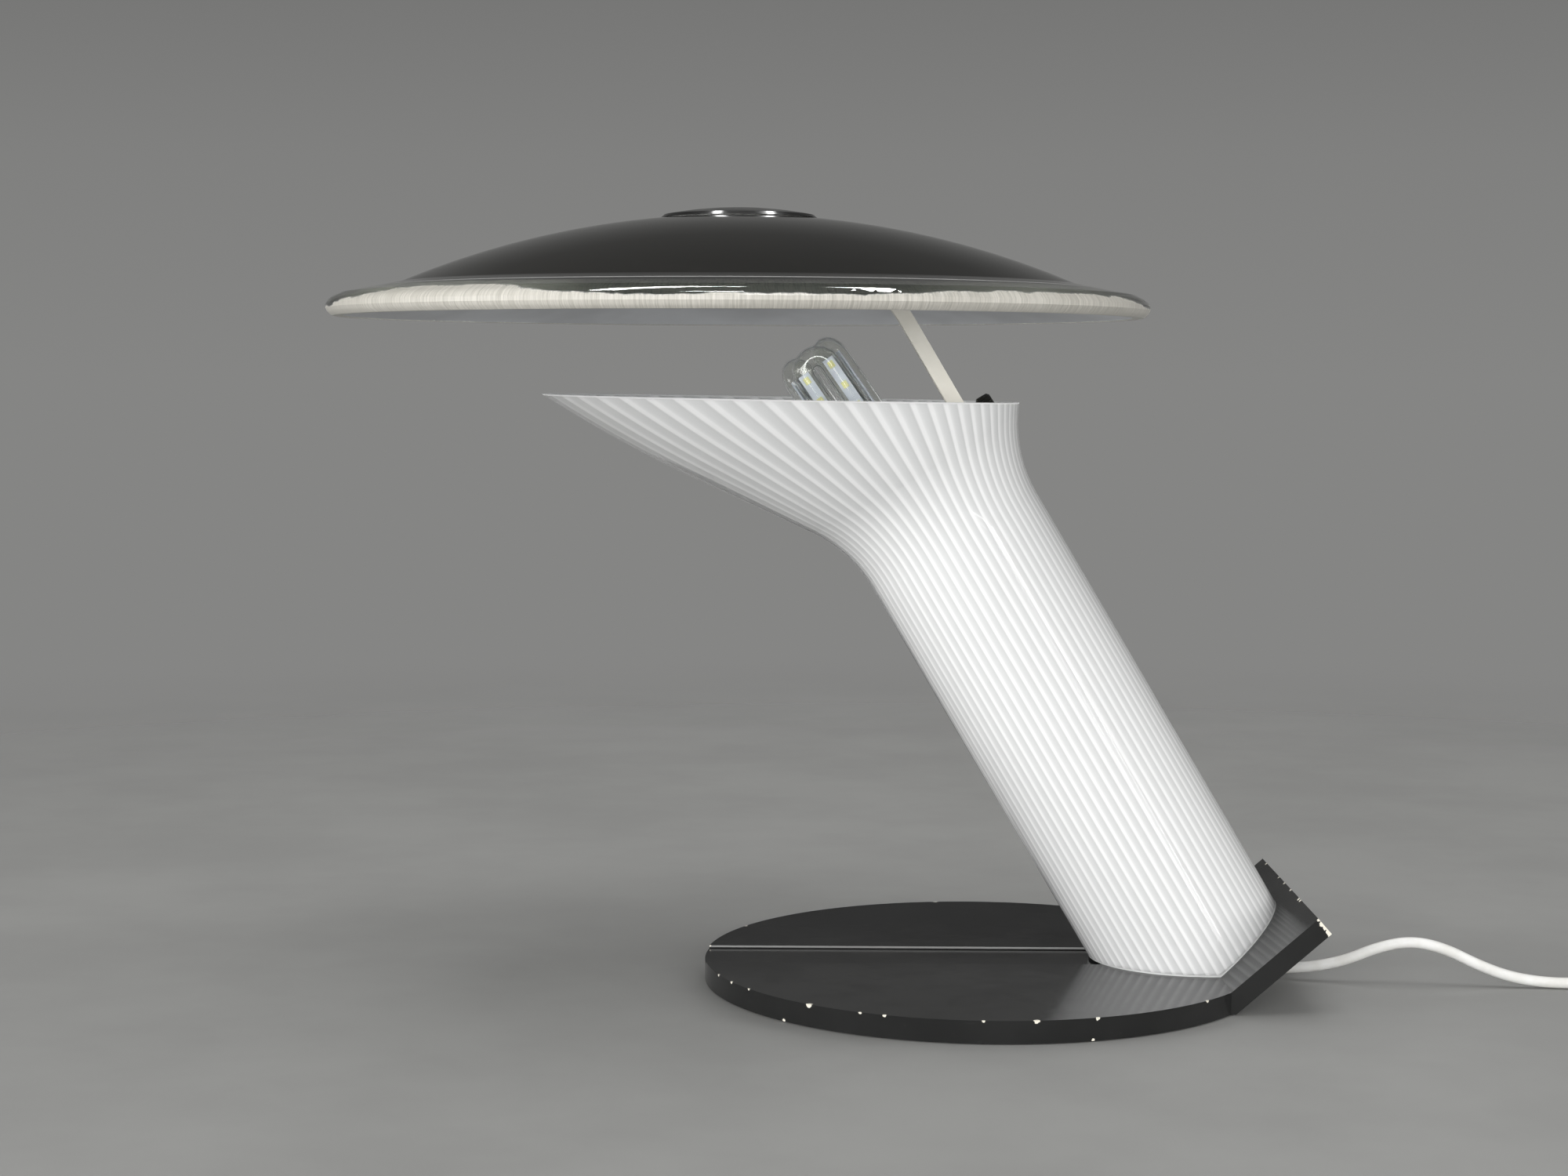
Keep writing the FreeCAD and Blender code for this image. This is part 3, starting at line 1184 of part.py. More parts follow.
def make_shade_cap(apex, inner_top):
    """The cap on top: a shallow dome with a boss that the spindle screws into."""
    rise = "(dims.shade_cap_top - dims.shade_cap_shoulder)"
    shoulder = "(dims.shade_cap_radius - dims.shade_cap_inset)"
    sphere = "(((%s)^2 + %s^2) / (2 * %s))" % (shoulder, rise, rise)
    boss_outer = "(dims.shade_hole - 2 * dims.bush_gap - dims.bush_wall)"
    boss_inner = "(dims.spindle_radius + dims.screw_gap)"
    boss_low = "%s + 10 * dims.bush_gap" % inner_top
    top = "%s + dims.shade_cap_top" % apex
    crown_under = "%s - dims.shade_cap_skin" % top
    ring_room = "%s + dims.ring_top + dims.seat_gap / 2" % apex
    over_boss = "%s + 10 * dims.bush_gap" % ring_room
    inner_edge = "(dims.ring_outer + dims.ring_gap)"
    edge = "%s + dims.shade_cap_edge" % apex
    outline = [
        (boss_inner, boss_low),
        (boss_outer, boss_low),
        (boss_outer, over_boss),
        ("dims.ring_inner", over_boss),
        ("dims.ring_inner", ring_room),
        (inner_edge, ring_room),
        (inner_edge, edge),
        ("dims.shade_cap_radius", edge),
        (shoulder, "%s + dims.shade_cap_shoulder" % apex),
        ("0", top),
        ("0", crown_under),
        (boss_inner, crown_under),
    ]
    keep(revolved("shade_cap", outline, {8: sphere}, None, (SHADE_X, "0", "0")), "shade_cap")


def route_points(points):
    return [Vector(*p) for p in points]


def smooth_path(points, name):
    """Straight runs joined by tangent arcs: each arc takes 0.45 of its shorter run. Prints the radii."""
    edges = []
    radii = []
    start = points[0]
    for before, corner, after in zip(points, points[1:], points[2:]):
        back = (before - corner).normalize()
        on = (after - corner).normalize()
        leg = 0.45 * min((before - corner).Length, (after - corner).Length)
        half_turn = (math.pi - back.getAngle(on)) / 2
        radius = leg / math.tan(half_turn)
        radii.append(radius)
        first = corner + back * leg
        last = corner + on * leg
        bisector = (back + on).normalize()
        middle = corner + bisector * (radius / math.cos(half_turn) - radius)
        edges.append(Part.LineSegment(start, first).toShape())
        edges.append(Part.Arc(first, middle, last).toShape())
        start = last
    edges.append(Part.LineSegment(start, points[-1]).toShape())
    print(name, "arc radii", [round(r, 1) for r in radii])
    return Part.Wire(edges)


def tube(wire, start, along, radius, name):
    """A round tube along a wire, with its volume compared with section times length."""
    profile = Part.Wire([Part.Circle(start, along, radius).toShape()])
    solid = wire.makePipeShell([profile], True, False)
    expected = math.pi * radius * radius * wire.Length
    print(name, "length %.1f, volume over section x length %.4f" % (wire.Length, solid.Volume / expected))
    return solid


def shape_feature(label, shape):
    thing = doc.addObject("Part::Feature", label)
    thing.Shape = shape
    thing.Placement = FreeCAD.Placement()
    return keep(thing, label)


def free_cord(label, route):
    points = route_points(route)
    wire = smooth_path(points, label)
    return shape_feature(label,
                         tube(wire, points[0], points[1] - points[0], size("dims.cord_radius"), label))


def biarc(p1, t1, p2, t2):
    """Two arcs from one point and direction to another, meeting with one tangent."""
    v = p2 - p1
    t = t1 + t2
    spread = 2 * (1 - t1.dot(t2))
    if spread < 1e-9:
        d = v.dot(v) / (2 * v.dot(t))
    else:
        d = (-v.dot(t) + math.sqrt(v.dot(t) ** 2 + spread * v.dot(v))) / spread
    q1 = p1 + t1 * d
    q2 = p2 - t2 * d
    joint = (q1 + q2) * 0.5
    edges = []
    for start, apex, end in ((p1, q1, joint), (joint, q2, p2)):
        chord_middle = (start + end) * 0.5
        cosine = ((end - start).Length / 2) / (apex - start).Length
        if cosine > 1 - 1e-9:
            edges.append(Part.LineSegment(start, end).toShape())
            continue
        middle = chord_middle + (apex - chord_middle) * (cosine / (1 + cosine))
        edges.append(Part.Arc(start, middle, end).toShape())
    return edges


def coil_point(turns_done):
    """Middle of the put-away coil's cord after so many turns: it winds inwards on the table, climbs a layer
    in the half turn where it reverses, and winds outwards on top."""
    whole = size("dims.coil_turns")
    pitch = size("dims.coil_pitch")
    middle = whole / 2
    inward = min(turns_done, whole - turns_done)
    radius = size("dims.coil_radius") - pitch * inward
    climb = size("dims.coil_climb")
    share = min(max((turns_done - middle) / climb + 0.5, 0), 1)
    height = size("dims.cord_radius") + pitch * (share * share * (3 - 2 * share))
    angle = -2 * math.pi * turns_done
    return Vector(size("dims.coil_x") + radius * math.cos(angle),
                  size("dims.coil_y") + radius * math.sin(angle), height)


def make_cords():
    """The lead inside, the free cord, its coil and the tail to the plug."""
    radius = size("dims.cord_radius")
    height = size("dims.cord_height")
    lean = math.radians(size("dims.lean"))
    top = size(TOP)

    def in_column(across, up):
        return Vector(
            size("dims.axis_x") + across * math.cos(lean) - up * math.sin(lean), 0,
            top + across * math.sin(lean) + up * math.cos(lean))

    lead_foot = size("dims.lead_x") + (top - height) * math.tan(lean)
    lead = [
        Vector(size("dims.cord_exit - dims.lead_joint_gap"), 0, height),
        Vector(lead_foot, 0, height),
        in_column(size(LEAD_ACROSS), size("dims.lead_top")),
        in_column(size("dims.lead_end_offset"), size("dims.lead_end")),
    ]
    wire = bent_lead(lead)
    shape_feature("inner_lead", tube(wire, lead[0], Vector(-1, 0, 0), radius, "inner_lead"))

    free_cord("mains_cord", LEAD_ROUTE)
    free_cord("cord_link", LINK_ROUTE)

    steps = int(4 * size("dims.coil_turns"))
    straight = 2 * radius
    places = [i / 4 for i in range(steps + 1)]
    small = 1e-4
    edges = []
    for first, second in zip(places, places[1:]):
        ends = []
        for place in (first, second):
            before = coil_point(max(place - small, 0))
            after = coil_point(min(place + small, steps / 4))
            ends.append((coil_point(place), (after - before).normalize()))
        if first == 0:
            ends[0] = (ends[0][0], Vector(0, -1, 0))
        if second == places[-1]:
            ends[1] = (ends[1][0], Vector(0, -1, 0))
        edges += biarc(ends[0][0], ends[0][1], ends[1][0], ends[1][1])
    start = coil_point(0)
    end = coil_point(steps / 4)
    edges.insert(0, Part.LineSegment(start + Vector(0, straight, 0), start).toShape())
    edges.append(Part.LineSegment(end, end - Vector(0, straight, 0)).toShape())
    coil_wire = Part.Wire(edges)
    coil = tube(coil_wire, start + Vector(0, straight, 0), Vector(0, -1, 0), radius, "cord_coil")
    shape_feature("cord_coil", coil)
    report_gap(coil_wire, radius)
    free_cord("cord_tail", TAIL_ROUTE)


def bent_lead(corners):
    """The held lead: a tight bend where it turns up into the column, and a gentle one at the lampholder."""
    bends = [2.4 * 2 * size("dims.cord_radius"), 8 * 2 * size("dims.cord_radius")]
    edges = []
    start = corners[0]
    for before, corner, after, radius in zip(corners, corners[1:], corners[2:], bends):
        back = (before - corner).normalize()
        on = (after - corner).normalize()
        half_turn = (math.pi - back.getAngle(on)) / 2
        leg = radius * math.tan(half_turn)
        middle = corner + (back + on).normalize() * (radius / math.cos(half_turn) - radius)
        edges.append(Part.LineSegment(start, corner + back * leg).toShape())
        edges.append(Part.Arc(corner + back * leg, middle, corner + on * leg).toShape())
        start = corner + on * leg
    edges.append(Part.LineSegment(start, corners[-1]).toShape())
    return Part.Wire(edges)


def report_gap(wire, radius):
    """Prints the coil's least gap to itself, on points that are not neighbours along it."""
    count = int(wire.Length)
    points = wire.discretize(count)
    apart = int(6 * radius)
    least = min(
        (points[i] - points[j]).Length
        for i in range(0, count, 2)
        for j in range(i + apart, count, 2))
    print("coil gap to itself %.2f" % (least - 2 * radius))


def make_cord_fittings():
    """Tapered bush at the exit and the clamp plate under the disc."""
    side = ("0", "1", "0", "90")

    def line(x):
        return (x, "0", "dims.cord_height")

    neck = cylinder("bush_neck", "dims.groove_half_width - dims.bush_fit_gap",
                    "dims.bush_collar - dims.bush_start", None,
                    line("dims.bush_start"), side)
    collar = cylinder("bush_collar_ring", "dims.bush_collar_radius", "dims.bush_collar_length", None,
                      line("dims.bush_collar + dims.bush_fit_gap"), side)
    taper_start = "(dims.bush_collar + dims.bush_fit_gap + dims.bush_collar_length)"
    taper = cone("bush_taper", "dims.bush_collar_radius - dims.bush_step", "dims.bush_tip_radius",
                 "dims.cord_exit - %s" % taper_start, None, line(taper_start), side)
    joint = cylinder("bush_joint", "dims.groove_half_width - dims.bush_fit_gap",
                     "dims.bush_collar_length / 3", None,
                     line("dims.bush_collar - dims.bush_collar_length / 6"), side)
    bore = cylinder("bush_bore", "dims.cord_radius + dims.bush_bore_gap", "dims.disc_radius", None,
                    line("dims.bush_start - dims.bush_collar_length"), side)
    keep(cut("cord_bush", fuse("bush_blank", neck, joint, collar, taper), bore), "cord_bush")

    plate_low = "(dims.felt_thickness + dims.clamp_plate_gap)"
    plate = box("clamp_plate_block",
                ("dims.clamp_plate_length", "dims.clamp_plate_width", "dims.clamp_plate_thickness"), None,
                ("dims.clamp_plate_x - dims.clamp_plate_length / 2", "-dims.clamp_plate_width / 2",
                 plate_low))
    holes = [
        cylinder("clamp_plate_hole_%d" % n, "dims.clamp_screw_radius + dims.clamp_hole_gap",
                 "5 * dims.clamp_plate_thickness", None,
                 ("dims.clamp_plate_x", "%d * dims.clamp_screw_side" % way, "0"))
        for n, way in enumerate((-1, 1))]
    keep(cut("cord_clamp", plate, *holes), "cord_clamp")
    screws = [
        cylinder("clamp_screw_%d" % n, "dims.clamp_screw_radius", "dims.clamp_screw_length", None,
                 ("dims.clamp_plate_x", "%d * dims.clamp_screw_side" % way, plate_low))
        for n, way in enumerate((-1, 1))]
    keep(group("clamp_screws", *screws), "clamp_screws")


def rounded_rectangle(sketch, length, width, corner):
    """A rectangle with round corners, centred on the sketch's origin."""
    x, y = "(%s) / 2" % length, "(%s) / 2" % width
    corners = []
    arcs = {}
    for number, (sx, sy) in enumerate(((1, -1), (1, 1), (-1, 1), (-1, -1))):
        first = ("%d * (%s - %s)" % (sx, x, corner), "%d * %s" % (sy, y))
        second = ("%d * %s" % (sx, x), "%d * (%s - %s)" % (sy, y, corner))
        pair = (first, second) if sx * sy < 0 else (second, first)
        arcs[2 * number] = corner
        corners += pair
    return draw(sketch, corners, arcs)


def make_switch():
    """Rocker switch on the cord: base shell, cover shell, rocker on its pin, and two screws from below."""
    length, width, corner = "dims.switch_length", "dims.switch_width", "dims.switch_corner"
    wall = "dims.switch_wall"
    inner_length, inner_width = "%s - 2 * %s" % (length, wall), "%s - 2 * %s" % (width, wall)
    inner_corner = "(%s - %s)" % (corner, wall)
    split = "dims.switch_base_height"
    cord_way = "dims.cord_radius + dims.cord_way_gap"

    body, sketch = body_on_plane("switch_base_body", "switch_frame")
    pad(body, rounded_rectangle(sketch("outline"), length, width, corner), split)
    pocket(body, rounded_rectangle(sketch("hollow", split), inner_length, inner_width, inner_corner),
           "%s - %s" % (split, wall))
    way = cylinder("switch_base_way", cord_way, "2 * %s" % length, "switch_frame",
                   ("-%s" % length, "0", "dims.switch_axis_height"), ("0", "1", "0", "90"))
    keep(cut("switch_base", body, way), "switch_base")

    body, sketch = body_on_plane("switch_cover_body", "switch_frame", ("0", "0", split))
    cover_height = "(dims.switch_height - %s)" % split
    pad(body, rounded_rectangle(sketch("outline"), length, width, corner), cover_height)
    pocket(body, rounded_rectangle(sketch("hollow"), inner_length, inner_width, inner_corner),
           "%s - %s" % (cover_height, wall), True)
    window = rounded_rectangle(sketch("window"), "dims.rocker_length + 2 * dims.rocker_gap",
                               "dims.rocker_width + 2 * dims.rocker_gap", "dims.rocker_corner")
    pocket(body, window, cover_height, True)
    doc.recompute()
    last = body.Tip
    rims = top_edges(last.Shape, size(cover_height), size(width))
    edge = body.newObject("PartDesign::Fillet", "switch_cover_round")
    edge.Base = (last, rims)
    edge.setExpression("Radius", "dims.switch_wall * 0.8")
    doc.recompute()
    way = cylinder("switch_cover_way", cord_way, "2 * %s" % length, "switch_frame",
                   ("-%s" % length, "0", "dims.switch_axis_height"), ("0", "1", "0", "90"))
    keep(cut("switch_cover", body, way), "switch_cover")

    half = "dims.rocker_length / 2"
    crown = "(dims.switch_height + dims.rocker_proud - dims.rocker_pivot)"
    lift = "(%s * tan(dims.rocker_tilt))" % half
    rocker = slab(
        "rocker_block",
        [("-%s" % half, "-dims.rocker_below"), (half, "-dims.rocker_below"),
         (half, "%s + %s" % (crown, lift)), ("0", crown),
         ("-%s" % half, "%s + %s" % (crown, lift))],
        None, "dims.rocker_width", "rocker_frame")
    pin_half = "(dims.rocker_width / 2 + dims.rocker_pin_out)"
    across = ("1", "0", "0", "-90")
    pivot = cylinder("rocker_pivot_pin", "dims.rocker_pin", "2 * %s" % pin_half, "switch_frame",
                     ("0", "-%s" % pin_half, "dims.rocker_pivot"), across)
    keep(fuse("switch_rocker", rocker, pivot), "switch_rocker")

    floor = "(%s + dims.core_gap)" % wall
    core = box("switch_core_block", ("dims.rocker_length + dims.core_over", "dims.core_width",
                                     "dims.rocker_pivot - dims.core_fall - %s" % floor),
               "switch_frame",
               ("-(dims.rocker_length + dims.core_over) / 2", "-dims.core_width / 2", floor))
    post_y = "(dims.rocker_width / 2 + dims.post_gap)"
    posts = [
        box("switch_post_%d" % n,
            ("dims.post_length", "dims.post_wall", "dims.rocker_pivot + dims.post_wall - %s" % floor),
            "switch_frame", ("-dims.post_length / 2", y, floor))
        for n, y in enumerate((post_y, "-%s - dims.post_wall" % post_y))]
    bridge = box("switch_core_bridge",
                 ("dims.post_length", "2 * %s + dims.post_wall" % post_y, "dims.bridge_height"),
                 "switch_frame",
                 ("-dims.post_length / 2", "-%s - dims.post_wall / 2" % post_y, floor))
    eyes = cylinder("switch_post_eyes", "dims.rocker_pin + dims.rocker_pin_gap", "dims.switch_width",
                    "switch_frame",
                    ("0", "-dims.switch_width / 2", "dims.rocker_pivot"), across)
    keep(cut("switch_contacts", fuse("switch_core", core, bridge, *posts), eyes), "switch_contacts")


def top_edges(shape, height, width):
    """Names of a cover's outer edges at its top face, away from the window."""
    names = []
    near = size("dims.switch_wall") / 1000
    for number, edge in enumerate(shape.Edges, start=1):
        bounds = edge.BoundBox
        level = abs(bounds.ZMin - height) < near and abs(bounds.ZMax - height) < near
        outside = max(abs(bounds.YMin), abs(bounds.YMax)) > width / 2 - near
        ends = max(abs(bounds.XMin), abs(bounds.XMax)) > size("dims.switch_length") / 2 - near
        if level and (outside or ends):
            names.append("Edge%d" % number)
    return names


def make_plug():
    """Flat two-pin plug: a tapered relief, a body that narrows to it, and two round pins."""
    half, neck = "dims.plug_width / 2", "dims.plug_neck_width / 2"
    relief, length = "dims.plug_relief", "dims.plug_length"
    outline = [
        (relief, "-%s" % neck), ("%s + dims.plug_shoulder" % relief, "-%s" % half),
        ("%s + %s - dims.plug_corner" % (relief, length), "-%s" % half),
        ("%s + %s" % (relief, length), "-%s + dims.plug_corner" % half),
        ("%s + %s" % (relief, length), "%s - dims.plug_corner" % half),
        ("%s + %s - dims.plug_corner" % (relief, length), half),
        ("%s + dims.plug_shoulder" % relief, half), (relief, neck)]
    sketch = draw(doc.addObject("Sketcher::SketchObject", "plug_outline"), outline,
                  {2: "dims.plug_corner", 4: "dims.plug_corner"})
    block = doc.addObject("Part::Extrusion", "plug_block")
    block.Base = sketch
    block.DirMode = "Custom"
    block.Dir = Vector(0, 0, 1)
    block.Solid = True
    block.Symmetric = True
    block.setExpression("LengthFwd", "dims.plug_thickness")
    put(block, "plug_frame")
    side = ("0", "1", "0", "90")
    taper = cone("plug_taper", "dims.cord_radius + dims.plug_relief_wall",
                 "dims.plug_thickness / 2 - dims.plug_step", "%s + dims.plug_overlap" % relief,
                 "plug_frame", ("0", "0", "0"), side)
    pin_holes = [
        cylinder("pin_hole_%d" % n, "dims.pin_radius + dims.screw_gap", "2 * dims.pin_root", "plug_frame",
                 ("%s + %s - dims.pin_root" % (relief, length), "%d * dims.pin_spacing / 2" % way, "0"),
                 side)
        for n, way in enumerate((-1, 1))]
    keep(cut("plug_body", fuse("plug_blank", block, taper), *pin_holes), "plug_body")
    pins = []
    for n, way in enumerate((-1, 1)):
        y = "%d * dims.pin_spacing / 2" % way
        shank = cylinder("pin_shank_%d" % n, "dims.pin_radius",
                         "dims.pin_length + dims.pin_root - dims.pin_tip",
                         "plug_frame", ("%s + %s - dims.pin_root" % (relief, length), y, "0"), side)
        tip = cone("pin_tip_%d" % n, "dims.pin_radius", "dims.pin_radius / 2", "dims.pin_tip", "plug_frame",
                   ("%s + %s - dims.pin_tip + dims.pin_length" % (relief, length), y, "0"), side)
        pins.append(fuse("pin_%d" % n, shank, tip))
    keep(group("plug_pins", *pins), "plug_pins")


def check_and_write():
    """Stops on any failed object or bad shape, then writes one file for each sub-part."""
    doc.recompute()
    bad = [(o.Label, o.State) for o in doc.Objects if "Invalid" in o.State or "Error" in o.State]
    if bad:
        raise SystemExit("failed objects: %s" % bad)
    for part in parts:
        shape = part.Shape
        if shape.isNull() or not shape.isValid() or not shape.Solids:
            raise SystemExit("bad shape: " + part.Label)
    os.makedirs("parts", exist_ok=True)
    for part in parts:
        part.Shape.exportStep("parts/%s.step" % part.Label)
        bounds = part.Shape.BoundBox
        print("%-16s %2d solids %9.0f mm3  x %.1f..%.1f y %.1f..%.1f z %.1f..%.1f" % (
            part.Label, len(part.Shape.Solids), part.Shape.Volume, bounds.XMin, bounds.XMax,
            bounds.YMin, bounds.YMax, bounds.ZMin, bounds.ZMax))
    print(len(parts), "sub-parts")


make_frames()
make_base()
make_column()
make_foot()
make_holder()
make_bulb()
make_bars()
make_shade()
make_cord_fittings()
make_switch()
make_plug()
make_cords()
check_and_write()
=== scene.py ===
import math

import bpy
import bmesh
from mathutils import Matrix, Vector


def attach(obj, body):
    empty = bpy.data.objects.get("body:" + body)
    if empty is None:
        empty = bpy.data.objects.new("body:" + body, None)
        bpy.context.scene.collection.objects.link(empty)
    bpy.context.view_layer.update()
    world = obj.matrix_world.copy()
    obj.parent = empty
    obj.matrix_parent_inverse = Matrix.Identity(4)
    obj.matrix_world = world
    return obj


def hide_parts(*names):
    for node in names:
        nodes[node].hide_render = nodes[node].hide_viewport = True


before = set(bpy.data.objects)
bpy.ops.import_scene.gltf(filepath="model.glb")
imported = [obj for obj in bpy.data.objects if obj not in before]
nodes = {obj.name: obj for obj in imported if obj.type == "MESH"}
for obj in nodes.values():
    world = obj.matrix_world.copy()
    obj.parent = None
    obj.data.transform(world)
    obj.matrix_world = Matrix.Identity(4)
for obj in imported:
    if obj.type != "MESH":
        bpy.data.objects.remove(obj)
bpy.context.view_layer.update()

CAMERA_AT = (-0.08482, -1.3295, 0.29939)
FOCAL_PIXELS = 3442.4
PHOTO_WIDTH = 2000
SENSOR_WIDTH = 36
PITCH, YAW, ROLL = (math.radians(a) for a in (4.515, 0.609, 0.200))


def make_camera():
    """The photograph's viewpoint: level in front of the lamp, looking slightly down."""
    forward = Vector((-math.sin(YAW) * math.cos(PITCH), math.cos(YAW) * math.cos(PITCH), -math.sin(PITCH)))
    right = Vector((math.cos(YAW), math.sin(YAW), 0))
    up = right.cross(forward)
    right_rolled = right * math.cos(ROLL) + up * math.sin(ROLL)
    up_rolled = up * math.cos(ROLL) - right * math.sin(ROLL)
    data = bpy.data.cameras.new("camera")
    data.sensor_fit = "HORIZONTAL"
    data.sensor_width = SENSOR_WIDTH
    data.lens = FOCAL_PIXELS * SENSOR_WIDTH / PHOTO_WIDTH
    data.clip_start = 0.01
    data.clip_end = 30
    camera = bpy.data.objects.new("camera", data)
    bpy.context.scene.collection.objects.link(camera)
    turn = Matrix((right_rolled, up_rolled, -forward)).transposed()
    camera.matrix_world = Matrix.Translation(CAMERA_AT) @ turn.to_4x4()
    bpy.context.scene.camera = camera


def opaque(colour):
    """A colour or a grey level with full alpha."""
    return (*colour, 1) if isinstance(colour, tuple) else (colour, colour, colour, 1)


def fill_ramp(node, stops):
    """Sets a colour ramp's stops, each a position and a grey level or colour."""
    elements = node.color_ramp.elements
    while len(elements) < len(stops):
        elements.new(0.5)
    for element, (position, colour) in zip(elements, stops):
        element.position = position
        element.color = opaque(colour)


class Shader:
    """A node material with one Principled shader and short calls for the nodes it uses."""

    def __init__(self, name, **values):
        self.material = bpy.data.materials.new(name)
        self.material.use_nodes = True
        self.tree = self.material.node_tree
        self.surface = self.tree.nodes["Principled BSDF"]
        self.set(**values)

    def set(self, **values):
        """Feeds the shader's inputs, named with underscores for spaces."""
        for key, value in values.items():
            self.feed(self.surface.inputs[key.replace("_", " ")], value)

    def node(self, kind, **settings):
        made = self.tree.nodes.new(kind)
        for key, value in settings.items():
            setattr(made, key, value)
        return made

    def feed(self, socket, value):
        """Links an output to a socket, or sets the socket to a number, a grey level, a colour or a vector."""
        if isinstance(value, bpy.types.NodeSocket):
            self.tree.links.new(value, socket)
        elif socket.type == "RGBA":
            socket.default_value = opaque(value)
        else:
            socket.default_value = value

    def fed(self, made, values):
        """A node with its inputs fed in their order, by its first output."""
        for socket, value in zip(made.inputs, values):
            self.feed(socket, value)
        return made.outputs[0]

    def place(self):
        return self.node("ShaderNodeTexCoord").outputs["Object"]

    def math(self, operation, *values):
        return self.fed(self.node("ShaderNodeMath", operation=operation), values)

    def opposite(self, mask):
        return self.math("SUBTRACT", 1.0, mask)

    def vector(self, operation, *values, out="Vector"):
        made = self.node("ShaderNodeVectorMath", operation=operation)
        self.fed(made, values)
        return made.outputs[out]

    def split(self, vector):
        made = self.node("ShaderNodeSeparateXYZ")
        self.feed(made.inputs[0], vector)
        return made.outputs

    def join(self, x, y, z):
        return self.fed(self.node("ShaderNodeCombineXYZ"), (x, y, z))

    def turned(self, vector, origin, axis, angle):
        """The vector from an origin, turned about an axis by an angle in radians."""
        made = self.node("ShaderNodeVectorRotate", rotation_type="AXIS_ANGLE")
        self.feed(made.inputs["Vector"], self.vector("SUBTRACT", vector, origin))
        made.inputs["Axis"].default_value = axis
        made.inputs["Angle"].default_value = angle
        return made.outputs[0]

    def noise(self, vector, scale, detail=2.0, roughness=0.5):
        made = self.node("ShaderNodeTexNoise")
        self.feed(made.inputs["Vector"], vector)
        made.inputs["Scale"].default_value = scale
        made.inputs["Detail"].default_value = detail
        made.inputs["Roughness"].default_value = roughness
        return made.outputs["Fac"]

    def streaks(self, turn, turn_scale, length, length_scale, *noise):
        """Noise over the angle round an axis and a length, each on a scale of its own."""
        across = self.math("MULTIPLY", turn, turn_scale)
        along = self.math("MULTIPLY", length, length_scale)
        return self.noise(self.join(across, 0.0, along), *noise)

    def ramp(self, value, stops):
        made = self.node("ShaderNodeValToRGB")
        fill_ramp(made, stops)
        self.feed(made.inputs[0], value)
        return made.outputs[0]

    def mix(self, factor, first, second):
        made = self.node("ShaderNodeMix", data_type="RGBA")
        self.feed(made.inputs[0], factor)
        self.feed(made.inputs[6], first)
        self.feed(made.inputs[7], second)
        return made.outputs[2]

    def level(self, value, low, high, to_low=0.0, to_high=1.0):
        """A smooth step of a value between two limits."""
        made = self.node("ShaderNodeMapRange", interpolation_type="SMOOTHSTEP")
        return self.fed(made, (value, low, high, to_low, to_high))

    def mottled(self, noise, low, high, first, second):
        """Soft patches: one colour where a noise is low, another where it is high."""
        return self.mix(self.level(noise, low, high), first, second)

    def bump(self, height, strength, distance):
        made = self.node("ShaderNodeBump")
        made.inputs["Strength"].default_value = strength
        made.inputs["Distance"].default_value = distance
        self.feed(made.inputs["Height"], height)
        self.set(Normal=made.outputs[0])


def paint(material, *names):
    """Gives carried-over solids their material."""
    for name in names:
        mesh = nodes[name].data
        mesh.materials.clear()
        mesh.materials.append(material)


# the cord from the bush to the switch
LEAD_ROUTE = [
    (0.146, 0, 0.0052),
    (0.155, -0.0016, 0.0059),
    (0.167, -0.0046, 0.0076),
    (0.181, -0.008, 0.0116),
    (0.195, -0.0106, 0.0184),
    (0.211, -0.0128, 0.0222),
    (0.227, -0.0144, 0.0190),
    (0.243, -0.0156, 0.0112),
    (0.258, -0.0166, 0.0056),
    (0.274, -0.0176, 0.0030),
    (0.290, -0.019, 0.00275),
    (0.304, -0.0202, 0.0046),
    (0.31811, -0.02138, 0.0076),
]
# from the switch to the coil, and from the coil to the plug
LINK_ROUTE = [
    (0.37789, -0.02662, 0.0076),
    (0.387, -0.0274, 0.0064),
    (0.397, -0.0316, 0.0040),
    (0.4038, -0.0406, 0.0029),
    (0.406, -0.053, 0.0027),
    (0.406, -0.0846, 0.0027),
]
TAIL_ROUTE = [
    (0.406, -0.0954, 0.0086),
    (0.406, -0.104, 0.0086),
    (0.4057, -0.113, 0.0076),
    (0.4051, -0.122, 0.00685),
    (0.4044, -0.131, 0.00685),
]
CORD_DIAMETER = 0.0054
COIL_CENTRE = (0.3635, -0.090)
COIL_RADIUS = 0.0425
COIL_PITCH = 0.0059
COIL_TURNS = 7
# turns that the climb to the upper layer takes
COIL_CLIMB = 0.5
POINTS_PER_TURN = 16
# the points stand this power of a polygon's corner outside the circle, so that the smooth curve runs on it
COIL_SWELL = 0.7


def cord_material():
    """White plastic, a little grubby, with a fine grain."""
    shader = Shader("cord_white", Roughness=0.42)
    place = shader.place()
    dirt = shader.noise(place, 60, 4, 0.6)
    shader.set(Base_Color=shader.mottled(dirt, 0.35, 0.7, (0.83, 0.83, 0.81), (0.72, 0.71, 0.67)))
    shader.bump(shader.noise(place, 900, 2), 0.15, 0.0002)
    return shader.material


